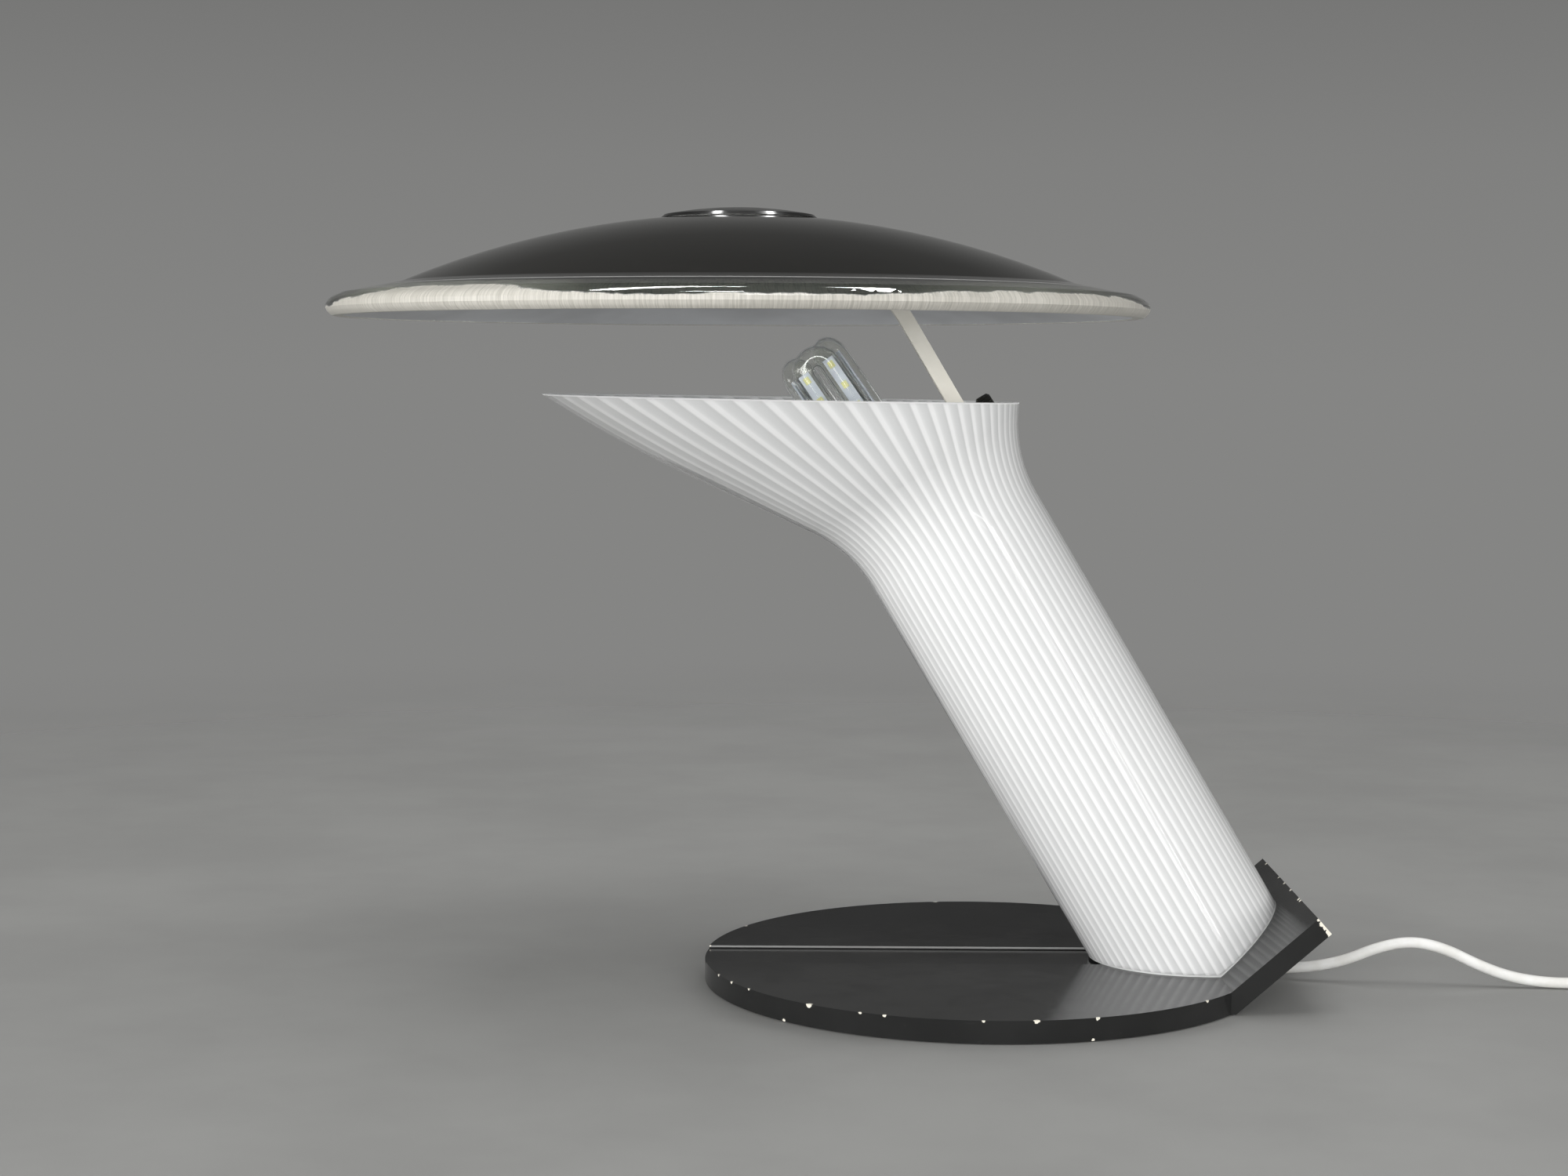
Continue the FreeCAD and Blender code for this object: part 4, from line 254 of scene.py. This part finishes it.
def coil_route():
    """The put-away coil: inwards on the table, up a layer where it reverses, outwards on top."""
    points = []
    swell = 1 / math.cos(math.pi / POINTS_PER_TURN) ** COIL_SWELL
    for step in range(1, COIL_TURNS * POINTS_PER_TURN):
        turns = step / POINTS_PER_TURN
        inward = min(turns, COIL_TURNS - turns)
        radius = (COIL_RADIUS - COIL_PITCH * inward) * swell
        share = min(max((turns - COIL_TURNS / 2) / COIL_CLIMB + 0.5, 0), 1)
        height = CORD_DIAMETER / 2 + COIL_PITCH * share * share * (3 - 2 * share)
        angle = -2 * math.pi * turns
        x = COIL_CENTRE[0] + radius * math.cos(angle)
        y = COIL_CENTRE[1] + radius * math.sin(angle)
        points.append((x, y, height))
    return points


def cord_piece(name, points, material):
    """A round cord: one smooth spline with the route's points as its control points."""
    data = bpy.data.curves.new(name, "CURVE")
    data.dimensions = "3D"
    data.bevel_depth = CORD_DIAMETER / 2
    data.bevel_resolution = 6
    data.resolution_u = 8
    data.use_fill_caps = True
    spline = data.splines.new("NURBS")
    spline.points.add(len(points) - 1)
    for point, place in zip(spline.points, points):
        point.co = (*place, 1)
    spline.order_u = 3
    spline.use_endpoint_u = True
    data.materials.append(material)
    piece = bpy.data.objects.new(name, data)
    bpy.context.scene.collection.objects.link(piece)
    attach(piece, "stand")
    return piece


def make_cords():
    """The two runs of cord as smooth splines in place of the solids, and the lead inside the lamp."""
    material = cord_material()
    lead = cord_piece("lead_cord", LEAD_ROUTE, material)
    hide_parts("mains_cord")
    second = cord_piece("plug_cord", LINK_ROUTE + coil_route() + TAIL_ROUTE, material)
    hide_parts("cord_link", "cord_coil", "cord_tail")
    paint(material, "inner_lead")


# the column: how far its axis leans, where it stands, and its mouth, which falls a little towards the fold
LEAN = math.radians(30.7)
COLUMN_FOOT = (0.1082, 0, 0.011)
MOUTH_FALL = math.radians(0.84)
MOUTH_X, MOUTH_Z = -0.098, 0.288
MOUTH_HEIGHT = MOUTH_Z + MOUTH_X * math.tan(MOUTH_FALL)
# the mouth's ground edge, painted pale in place of the light that shows through the wall there, fades in
# between these depths below its plane
LIP_DEPTHS = (0.0009, 0.0004)
# the threads: how many, the first one's place counted in threads, and how far they waver
STRIPES = 63
STRIPE_START = 100.25
STRIPE_WAVER = 0.10
# how white one thread is across its share of the glass
STRIPE_PROFILE = ((0.0, 0.0), (0.04, 0.1), (0.12, 0.9), (0.18, 1.0), (0.34, 1.0),
                  (0.46, 0.5), (0.62, 0.24), (0.88, 0.1), (1.0, 0.0))


def striped_glass():
    """Clear gloss over milky glass with white threads that run the length of the column, ground dull at the
    mouth and painted pale there in place of the light through the wall."""
    shader = Shader("striped_glass", IOR=1.5, Coat_Roughness=0.03, Subsurface_Weight=0.8,
                    Subsurface_Scale=0.005, Subsurface_Radius=(1.0, 1.0, 1.0))
    place = shader.place()
    x, y, z = shader.split(shader.turned(place, COLUMN_FOOT, (0, 1, 0), LEAN))
    waver = shader.noise(shader.join(0.0, 0.0, z), 9, 1)
    start = shader.math("MULTIPLY_ADD", waver, STRIPE_WAVER, STRIPE_START - STRIPE_WAVER / 2)
    count = shader.math("MULTIPLY_ADD", shader.math("ARCTAN2", y, x), STRIPES / (2 * math.pi), start)
    stripe = shader.ramp(shader.math("FRACT", count), STRIPE_PROFILE)
    white = shader.mix(shader.noise(place, 25, 3, 0.6), (0.97, 0.97, 0.965), (0.93, 0.935, 0.935))
    colour = shader.mix(stripe, (0.66, 0.665, 0.665), white)
    across, _, height = shader.split(place)
    level_height = shader.math("MULTIPLY_ADD", across, math.tan(MOUTH_FALL), height)
    lip_ground_and_painted_pale = shader.level(level_height, *(MOUTH_HEIGHT - depth for depth in LIP_DEPTHS))
    # the mouth's ground edge, painted pale in place of the light through the wall
    shader.set(Base_Color=shader.mix(lip_ground_and_painted_pale, colour, (0.95, 0.95, 0.945)),
               Roughness=shader.level(lip_ground_and_painted_pale, 0.0, 1.0, 0.25, 0.8),
               Coat_Weight=shader.opposite(lip_ground_and_painted_pale))
    shader.bump(stripe, 0.05, 0.0004)
    return shader.material


# the shade's shape: a ball's cap, then a straight slope from the kink to the rim
SHADE_X = -0.1215
SHADE_APEX = 0.377
DOME_RADIUS = 0.420
KINK_RADIUS = 0.165
RIM_SLOPE = math.radians(11)
# deeper in the glass than this is its inner surface
INNER_DEPTH = 0.0030
# radii where the enamel outside and the coat inside end, and how far their edges wander
ENAMEL_EDGE, ENAMEL_WANDER = 0.1745, 0.0012
COAT_EDGE, COAT_WANDER = 0.190, 0.003
# a painted highlight, a pale band along the enamel's edge, fades out between these distances beyond the enamel
PAINTED_HIGHLIGHT_SPAN = (0.001, 0.0035)
# the coat turns from black to cream over a short way out from here
CREAM_START, CREAM_FADE = 0.171, 0.004
# painted shade on the coat round the rim, standing in for the dark the rim shows: share of a turn from the far
# left, and how dark
PAINTED_SHADE_ROUND_RIM = ((0.0, 1.0), (0.05, 0.9), (0.089, 0.1), (0.139, 0.0), (0.175, 0.35),
             (0.197, 0.95), (0.317, 1.0), (0.342, 0.75), (0.375, 0.45), (0.403, 0.6),
             (0.444, 1.0), (0.5, 0.9), (0.55, 0.2), (0.97, 0.2), (1.0, 1.0))
# the painted shade's colour
PAINTED_SHADE_COLOUR = (0.045, 0.045, 0.043)
# the rim's ground edge: how high it reaches and how far in, how far the painted pale light climbs above it, how
# it frays and wavers
GROUND_TOP = 0.3306
GROUND_START = 0.1915
PAINTED_PALE_CLIMB = 0.009
GROUND_FRAY = 0.0016
GROUND_WAVER = 0.0005
GROUND_FADE = 0.0008
# painted pale light: how far it climbs the edge round the rim, as share of a turn from the far left and share
# of the climb
PAINTED_PALE_RISE = ((0.05, 0.0), (0.122, 0.8), (0.16, 0.8), (0.205, 0.24), (0.3, 0.24),
               (0.335, 0.5), (0.42, 0.5), (0.46, 0.0), (0.5, 0.24), (0.97, 0.24), (1.0, 0.0))
# the glass's own tint, and how much it takes per metre
TINT_COLOUR, TINT_DENSITY = (0.50, 0.56, 0.51), 55.0


def below_surface(shader, radius, z):
    """How far a point of the shade lies below its outer surface."""
    centre_height = SHADE_APEX - DOME_RADIUS
    square = shader.math("SUBTRACT", DOME_RADIUS**2, shader.math("MULTIPLY", radius, radius))
    dome_height = shader.math("ADD", shader.math("SQRT", square), centre_height)
    slope = math.tan(RIM_SLOPE)
    kink_height = centre_height + math.sqrt(DOME_RADIUS**2 - KINK_RADIUS**2)
    slope_height = shader.math("MULTIPLY_ADD", radius, -slope, kink_height + KINK_RADIUS * slope)
    beyond = shader.math("GREATER_THAN", radius, KINK_RADIUS)
    step = shader.math("SUBTRACT", slope_height, dome_height)
    return shader.math("SUBTRACT", shader.math("MULTIPLY_ADD", step, beyond, dome_height), z)


def coat_colour(shader, place, radius, fine, painted_shade, from_glass):
    """The coat inside the shade: grey from below, through the glass cream, and darkened round the rim by
    painted shade.
    """
    cream = shader.mottled(fine, 0.35, 0.65, (0.92, 0.88, 0.82), (0.78, 0.73, 0.66))
    # painted shade darkens the cream round the rim
    cream = shader.mix(painted_shade, cream, PAINTED_SHADE_COLOUR)
    shown = shader.level(radius, CREAM_START, CREAM_START + CREAM_FADE)
    cream = shader.mix(shown, (0.02, 0.02, 0.02), cream)
    cloud = shader.noise(place, 14, 3)
    grey = shader.mottled(cloud, 0.35, 0.65, (0.78, 0.80, 0.84), (0.62, 0.635, 0.665))
    return shader.mix(from_glass, grey, cream)


def ground_edge_and_painted_pale(shader, place, round_share, radius, z, fine):
    """Where the rim's edge is ground, and above it the painted pale light that climbs it by angle round the
    rim.
    """
    top = shader.math("MULTIPLY_ADD", shader.ramp(round_share, PAINTED_PALE_RISE), PAINTED_PALE_CLIMB, GROUND_TOP)
    top = shader.math("MULTIPLY_ADD", fine, GROUND_FRAY, top)
    waver = shader.level(shader.noise(place, 70, 3), 0.35, 0.65, -1.0, 1.0)
    top = shader.math("MULTIPLY_ADD", waver, GROUND_WAVER, top)
    below = shader.level(z, shader.math("SUBTRACT", top, GROUND_FADE), top, 1.0, 0.0)
    return shader.math("MULTIPLY", below, shader.math("GREATER_THAN", radius, GROUND_START))


def shade_material():
    """Black enamel outside on the dome, a coat inside that is grey from below and streaked cream through the
    glass with painted shade round the rim, and between them clear glass that shows at the rim and is ground at
    its edge, with painted pale light climbing that edge and a painted highlight beyond the enamel."""
    shader = Shader("shade_glass", IOR=1.5)
    place = shader.place()
    x, y, z = shader.split(shader.vector("SUBTRACT", place, (SHADE_X, 0, 0)))
    radius = shader.vector("LENGTH", shader.join(x, y, 0.0), out="Value")
    turn = shader.math("ARCTAN2", y, x)
    round_share = shader.math("FRACT", shader.math("MULTIPLY_ADD", turn, 1 / (2 * math.pi), 0.5))
    fine = shader.streaks(turn, 60.0, radius, 60.0, 3.0, 4, 0.7)
    # painted shade: the coat darkened by angle round the rim, most at its two ends and at its front
    painted_shade = shader.math("MULTIPLY", shader.ramp(round_share, PAINTED_SHADE_ROUND_RIM), shader.level(fine, 0.25, 0.6, 1.0, 0.8))
    from_glass = shader.node("ShaderNodeNewGeometry").outputs["Backfacing"]

    # where each finish, the painted highlight and the painted pale light lie, as masks
    inside = shader.math("GREATER_THAN", below_surface(shader, radius, z), INNER_DEPTH)
    outside = shader.opposite(inside)
    coat_edge = shader.math("MULTIPLY_ADD", fine, COAT_WANDER, COAT_EDGE)
    coated = shader.math("MULTIPLY", inside, shader.math("LESS_THAN", radius, coat_edge))
    enamel_edge = shader.math("MULTIPLY_ADD", shader.noise(place, 90, 4, 0.7), ENAMEL_WANDER, ENAMEL_EDGE)
    enamel = shader.math("MULTIPLY", outside, shader.math("LESS_THAN", radius, enamel_edge))
    # painted highlight: a pale band just beyond the enamel's edge
    painted_highlight = shader.math("MULTIPLY", outside, shader.math("GREATER_THAN", radius, enamel_edge))
    fade = shader.level(radius, *(ENAMEL_EDGE + beyond for beyond in PAINTED_HIGHLIGHT_SPAN), 0.8, 0.0)
    painted_highlight = shader.math("MULTIPLY", painted_highlight, fade)
    # the ground edge, raised by angle with painted pale light
    ground = ground_edge_and_painted_pale(shader, place, round_share, radius, z, fine)

    black = shader.mix(shader.noise(place, 8, 3), (0.010, 0.010, 0.009), (0.018, 0.017, 0.015))
    colour = shader.mix(enamel, (0.97, 0.98, 0.96), black)
    colour = shader.mix(coated, colour, coat_colour(shader, place, radius, fine, painted_shade, from_glass))
    scratches = shader.streaks(turn, 170.0, z, 40.0, 1.0, 3, 0.8)
    # the ground edge's colour, which also serves as the painted pale light
    pale = shader.mottled(scratches, 0.3, 0.7, (0.82, 0.79, 0.72), (0.54, 0.52, 0.46))
    # painted shade also darkens the pale edge where it is seen through the glass
    pale = shader.mix(shader.math("MULTIPLY", from_glass, painted_shade), pale, PAINTED_SHADE_COLOUR)
    colour = shader.mix(ground, colour, pale)
    # the painted highlight's colour
    colour = shader.mix(painted_highlight, colour, (0.80, 0.80, 0.77))

    dust = shader.level(shader.noise(place, 220, 5, 0.7), 0.45, 0.8, 0.05, 0.14)
    rough = shader.math("MULTIPLY_ADD", coated, 0.3, shader.math("MULTIPLY", enamel, dust))
    rough = shader.math("MAXIMUM", rough, shader.math("MULTIPLY", ground, 0.3))
    clear = shader.math("SUBTRACT", shader.opposite(coated), enamel)
    clear = shader.math("MULTIPLY", clear, shader.math("MULTIPLY_ADD", ground, -0.75, 1.0))
    # no clear glass where the painted highlight lies
    clear = shader.math("MULTIPLY", clear, shader.opposite(painted_highlight))
    shader.set(Base_Color=colour, Transmission_Weight=clear, Roughness=rough)
    tint = shader.fed(shader.node("ShaderNodeVolumeAbsorption"), (TINT_COLOUR, TINT_DENSITY))
    shader.feed(shader.tree.nodes["Material Output"].inputs["Volume"], tint)
    return shader.material


PLATE_TOP = 0.011
DISC_RADIUS = 0.1377
CHANNEL_HALF = 0.0195
CHANNEL_END = 0.070
FLANGE_TOP_CORNER = (0.1528, 0.0462)
FLANGE_LOW_CORNER = (0.1591, 0.0391)
FLANGE_HALF_WIDTH = 0.0793
# chips in the lacquer: round the disc's upper edge, as angle in degrees and reach in millimetres
DISC_CHIPS = [(172, 0.9), (-173, 0.8), (-160, 1.0), (-153, 0.9), (-146, 0.8),
              (-128.5, 1.7), (-117, 0.8), (-112, 0.9), (-93, 0.8), (-83, 1.5),
              (-71, 1.1), (-44, 1.0), (150, 1.1), (97, 1.4), (58, 0.9)]
# round its lower edge, at this height
LOW_CHIPS = [(-135, 0.9), (-72, 0.8), (110, 1.0)]
LOW_EDGE = 0.0008
# along the flange's raised edge, as place across in millimetres and reach
FLANGE_CHIPS = [(27.6, 1.0), (11.7, 1.2), (-6.2, 1.1), (-29, 1.3), (-33, 1.2), (66, 1.2)]
# down the raised edge's front end, as share of the way down and reach
END_CHIPS = [(0.0, 1.2), (0.3, 1.5), (0.55, 1.4), (0.8, 1.5), (1.0, 2.1)]
# a chip's edge lies at the first share of its reach, and further by the second times a noise
CHIP_CORE, CHIP_FRAY = 0.2, 1.6
# the worn line at the channel's back edge: its width, and the heights about the plate's top where it shows
WORN_WIDTH = 0.0008
WORN_BELOW, WORN_ABOVE = 0.0009, 0.0003


def chip_spots():
    """Middle and reach of every chip in the lacquer."""
    spots = []
    for height, marks in ((PLATE_TOP, DISC_CHIPS), (LOW_EDGE, LOW_CHIPS)):
        for angle, reach in marks:
            turn = math.radians(angle)
            spots.append(((DISC_RADIUS * math.cos(turn), DISC_RADIUS * math.sin(turn), height), reach / 1000))
    for across, reach in FLANGE_CHIPS:
        spots.append(((FLANGE_TOP_CORNER[0], across / 1000, FLANGE_TOP_CORNER[1]), reach / 1000))
    for share, reach in END_CHIPS:
        x, z = (a + (b - a) * share for a, b in zip(FLANGE_TOP_CORNER, FLANGE_LOW_CORNER))
        spots.append(((x, -FLANGE_HALF_WIDTH, z), reach / 1000))
    return spots


def worn_line(shader, place):
    """Where the lacquer is worn: along the channel's back edge, on the plate's top."""
    x, y, z = shader.split(place)
    away = shader.math("ABSOLUTE", shader.math("SUBTRACT", y, CHANNEL_HALF))
    width = shader.math("MULTIPLY", shader.noise(place, 90, 4, 0.7), WORN_WIDTH)
    near = shader.math("LESS_THAN", away, width)
    high = shader.math("GREATER_THAN", z, PLATE_TOP - WORN_BELOW)
    low = shader.math("LESS_THAN", z, PLATE_TOP + WORN_ABOVE)
    short = shader.math("LESS_THAN", x, CHANNEL_END)
    return shader.math("MULTIPLY", shader.math("MULTIPLY", near, high), shader.math("MULTIPLY", low, short))


def lacquer_material():
    """Black lacquer, chipped to a pale primer along its edges and worn along the channel."""
    shader = Shader("black_lacquer", IOR=1.3)
    place = shader.place()
    fray = shader.noise(place, 700, 3, 0.7)
    chips = 0.0
    for spot, reach in chip_spots():
        away = shader.vector("DISTANCE", place, spot, out="Value")
        limit = shader.math("MULTIPLY_ADD", fray, reach * CHIP_FRAY, reach * CHIP_CORE)
        chips = shader.math("MAXIMUM", chips, shader.math("LESS_THAN", away, limit))
    patches = shader.noise(place, 12, 4, 0.6)
    black = shader.mottled(patches, 0.35, 0.7, (0.016, 0.0163, 0.016), (0.022, 0.0223, 0.022))
    scuffs = shader.noise(shader.vector("MULTIPLY", place, (40, 400, 400)), 1.0, 4, 0.7)
    black = shader.mottled(scuffs, 0.62, 0.75, black, (0.032, 0.032, 0.032))
    colour = shader.mix(worn_line(shader, place), black, (0.24, 0.24, 0.235))
    gloss = shader.level(shader.noise(place, 40, 4, 0.65), 0.35, 0.75, 0.10, 0.20)
    shader.set(Base_Color=shader.mix(chips, colour, (0.80, 0.76, 0.66)),
               Roughness=shader.mix(chips, gloss, 0.6))
    height = shader.math("SUBTRACT", shader.math("MULTIPLY", shader.noise(place, 250, 2), 0.12), chips)
    shader.bump(height, 0.25, 0.0004)
    return shader.material


def clear_glass():
    """The bulb's tubes: thin clear glass with faint waves, which bends the view only a little."""
    shader = Shader("clear_glass", IOR=1.12, Base_Color=(0.96, 0.97, 0.95), Transmission_Weight=1.0,
                    Coat_Weight=1.0)
    place = shader.place()
    shader.set(Roughness=shader.level(shader.noise(place, 200, 3), 0.4, 0.8, 0.01, 0.03))
    shader.bump(shader.noise(place, 80, 2), 0.05, 0.0002)
    return shader.material


def plain(name, colour, other=None, roughness=0.4, metallic=0.0, grain=300, bump=0.1):
    """A finish with slight mottling in colour, gloss and surface; grain is its finest noise's scale."""
    shader = Shader(name, Metallic=metallic)
    place = shader.place()
    second = other or tuple(c * 0.82 for c in colour)
    gloss = shader.noise(place, grain / 3, 3, 0.6)
    shader.set(Base_Color=shader.mottled(shader.noise(place, grain / 6, 4, 0.6), 0.35, 0.7, colour, second),
               Roughness=shader.level(gloss, 0.3, 0.75, roughness * 0.8, roughness * 1.3))
    shader.bump(shader.noise(place, grain, 3), bump, 0.0002)
    return shader.material


def make_materials():
    """Gives every solid but the cords and the lead its finish."""
    paint(striped_glass(), "glass_column")
    paint(shade_material(), "shade_glass")
    paint(lacquer_material(), "base_disc", "base_flange")
    paint(plain("black_felt", (0.03, 0.03, 0.03), roughness=0.9, grain=1500, bump=0.5), "base_felt")
    paint(plain("plated_steel", (0.62, 0.62, 0.60), roughness=0.3, metallic=1.0, grain=600),
          "foot_bracket", "bracket_screws", "stem_tube", "stem_nut", "bar_screws", "clamp_nut", "spindle",
          "spindle_nut", "cord_clamp", "clamp_screws")
    paint(plain("brass", (0.75, 0.58, 0.28), roughness=0.3, metallic=1.0),
          "holder_sleeve", "holder_contact", "switch_contacts")
    paint(plain("nickel", (0.75, 0.74, 0.72), roughness=0.2, metallic=1.0), "bulb_cap", "plug_pins")
    paint(plain("black_plastic", (0.02, 0.02, 0.02), roughness=0.35), "holder_cap", "holder_skirt")
    paint(plain("knob_black", (0.012, 0.012, 0.010), roughness=0.3), "thumbscrew")
    paint(plain("ceramic_white", (0.8, 0.79, 0.75), roughness=0.25), "holder_insert")
    paint(plain("white_plastic", (0.8, 0.8, 0.78), roughness=0.3),
          "bulb_housing", "centre_bush", "cord_bush", "switch_base", "switch_cover", "plug_body")
    paint(plain("rocker_white", (0.75, 0.75, 0.73), roughness=0.25), "switch_rocker")
    paint(plain("strip_board", (0.80, 0.85, 0.95), (0.74, 0.79, 0.90)), "led_strips")
    paint(plain("chip_yellow", (0.92, 0.90, 0.36), roughness=0.3), "led_chips")
    paint(plain("cream_paint", (0.88, 0.85, 0.76), (0.82, 0.79, 0.70), grain=200),
          "support_bar", "shade_arm", "arm_guide", "shade_seat")
    paint(plain("black_rubber", (0.03, 0.03, 0.03), roughness=0.8), "seat_gasket")
    paint(plain("clear_silicone", (0.72, 0.73, 0.72), roughness=0.3), "foot_gasket")
    paint(plain("pale_ring", (0.5, 0.5, 0.48), (0.2, 0.2, 0.19), roughness=0.5, grain=2000), "cap_ring")
    paint(plain("cap_black", (0.012, 0.012, 0.012), roughness=0.15), "shade_cap")
    paint(clear_glass(), "bulb_tubes")


# the floor, just under the lamp, fades out between two distances from a middle
FLOOR_RADIUS = 2.2
FLOOR_DROP = 0.0001
FADE_MIDDLE = (0.0, -0.2, 0.0)
FADE_FROM, FADE_TO = 0.8, 1.8


def make_stage():
    """A pale floor that fades into the grey studio some way off."""
    mesh = bpy.data.meshes.new("floor")
    bm = bmesh.new()
    bmesh.ops.create_circle(bm, cap_ends=True, segments=96, radius=FLOOR_RADIUS)
    bm.to_mesh(mesh)
    bm.free()
    floor = bpy.data.objects.new("floor", mesh)
    bpy.context.scene.collection.objects.link(floor)
    floor.location = (0, 0, -FLOOR_DROP)
    shader = Shader("floor", Roughness=0.75)
    place = shader.place()
    distance = shader.vector("DISTANCE", place, FADE_MIDDLE, out="Value")
    patches = shader.noise(place, 5, 4, 0.6)
    shader.set(Base_Color=shader.mottled(patches, 0.3, 0.7, (0.345, 0.345, 0.335), (0.305, 0.305, 0.296)),
               Alpha=shader.level(distance, FADE_FROM, FADE_TO, 1.0, 0.0))
    mesh.materials.append(shader.material)


FLAG_AT = (-0.03, 0.45, 0.055)
FLAG_WIDTH, FLAG_HEIGHT = 0.46, 0.11


def make_flag():
    """A dark card behind the lamp that only the lacquer's gloss sees."""
    bpy.ops.mesh.primitive_plane_add(size=1.0, location=FLAG_AT, rotation=(math.radians(90), 0, 0))
    flag = bpy.context.object
    flag.name = "flag"
    flag.scale = (FLAG_WIDTH, FLAG_HEIGHT, 1.0)
    shader = Shader("flag", Base_Color=(0.06, 0.06, 0.06), Roughness=0.9)
    flag.data.materials.append(shader.material)
    flag.visible_camera = flag.visible_diffuse = flag.visible_shadow = flag.visible_transmission = False


# how bright the studio is, by how high one looks: 0 is level and 1 straight up
STUDIO_LEVELS = ((0.0, 0.235), (0.08, 0.215), (0.15, 0.175), (0.26, 0.16),
                 (0.45, 0.10), (0.75, 0.10), (1.0, 0.35))
STUDIO_BLUE = 0.98


def make_world():
    """A grey studio, brightest overhead, with a paler band near the floor."""
    world = bpy.data.worlds.new("studio")
    world.use_nodes = True
    tree = world.node_tree
    place = tree.nodes.new("ShaderNodeTexCoord")
    split = tree.nodes.new("ShaderNodeSeparateXYZ")
    ramp = tree.nodes.new("ShaderNodeValToRGB")
    tree.links.new(place.outputs["Generated"], split.inputs[0])
    tree.links.new(split.outputs[2], ramp.inputs[0])
    fill_ramp(ramp, [(position, (level, level, level * STUDIO_BLUE)) for position, level in STUDIO_LEVELS])
    tree.links.new(ramp.outputs[0], tree.nodes["Background"].inputs[0])
    bpy.context.scene.world = world


# wide soft lights that gloss doesn't mirror: name, place, width, height and radiance
SOFT_AIM = (-0.05, 0, 0.2)
SOFT_LIGHTS = [
    ("key", (1.5, -2.8, 0.75), 2.4, 1.5, 2.3),
    ("front", (-1.1, -3.1, 0.65), 2.6, 1.3, 8.2),
    ("top", (0.1, -0.3, 2.6), 2.0, 1.4, 1.7),
    ("back", (0.2, 3.0, 1.5), 2.4, 1.4, 1.6),
    ("left", (-2.9, -0.9, 0.7), 1.8, 1.2, 6.5),
    ("right", (2.9, -0.5, 1.0), 1.8, 1.2, 3.4),
]
# tubes under the ceiling that only gloss sees, along the rim: place, length and heading in degrees
CEILING_TUBES = [((-0.4805, 0.571), 1.246, 64.2), ((-0.032, -0.41), 0.729, 9.3), ((0.343, 0.818), 0.95, 110.3)]
CEILING_HEIGHT = 2.03
CEILING_TUBE_WIDTH = 0.16
CEILING_TUBE_RADIANCE = 26.0
# upright tubes at the right for the fine double line on the column: shift aside and width
THIN_TUBES = [(0.0, 0.03), (-0.08, 0.015)]
THIN_TUBE_AT = (1.05, -1.12, 0.62)
THIN_TUBE_AIM = (0.02, 0, 0.16)
THIN_TUBE_LENGTH = 1.2
THIN_TUBE_RADIANCE = 7.0
THIN_TUBE_ROLL = math.radians(-12)


def area_light(name, at, target, size_x, size_y, radiance, roll=0.0, mirrored=True, lighting=True):
    """A rectangular light, given by how bright its face is, whether gloss mirrors it and whether it lights."""
    data = bpy.data.lights.new(name, "AREA")
    data.shape = "RECTANGLE"
    data.size, data.size_y = size_x, size_y
    data.energy = radiance * math.pi * size_x * size_y
    light = bpy.data.objects.new(name, data)
    bpy.context.scene.collection.objects.link(light)
    turn = (Vector(target) - Vector(at)).to_track_quat("-Z", "Y").to_matrix().to_4x4()
    light.matrix_world = Matrix.Translation(at) @ turn @ Matrix.Rotation(roll, 4, "Z")
    light.visible_glossy = mirrored
    light.visible_diffuse = light.visible_transmission = light.visible_volume_scatter = lighting


def make_lights():
    """The soft lights, the tubes under the ceiling and the thin tubes."""
    for name, at, width, height, radiance in SOFT_LIGHTS:
        area_light(name, at, SOFT_AIM, width, height, radiance, mirrored=False)
    for number, ((x, y), length, heading) in enumerate(CEILING_TUBES):
        area_light("ceiling_tube_%d" % number, (x, y, CEILING_HEIGHT), (x, y, 0), length, CEILING_TUBE_WIDTH,
                   CEILING_TUBE_RADIANCE, math.radians(heading), lighting=False)
    for number, (shift, width) in enumerate(THIN_TUBES):
        at = Vector(THIN_TUBE_AT) + Vector((shift, shift, 0))
        area_light("tube_%d" % number, at, THIN_TUBE_AIM, width, THIN_TUBE_LENGTH, THIN_TUBE_RADIANCE,
                   THIN_TUBE_ROLL)


bpy.context.scene.view_settings.view_transform = "Standard"
make_camera()
make_cords()
make_materials()
make_stage()
make_flag()
make_world()
make_lights()

bpy.context.view_layer.update()
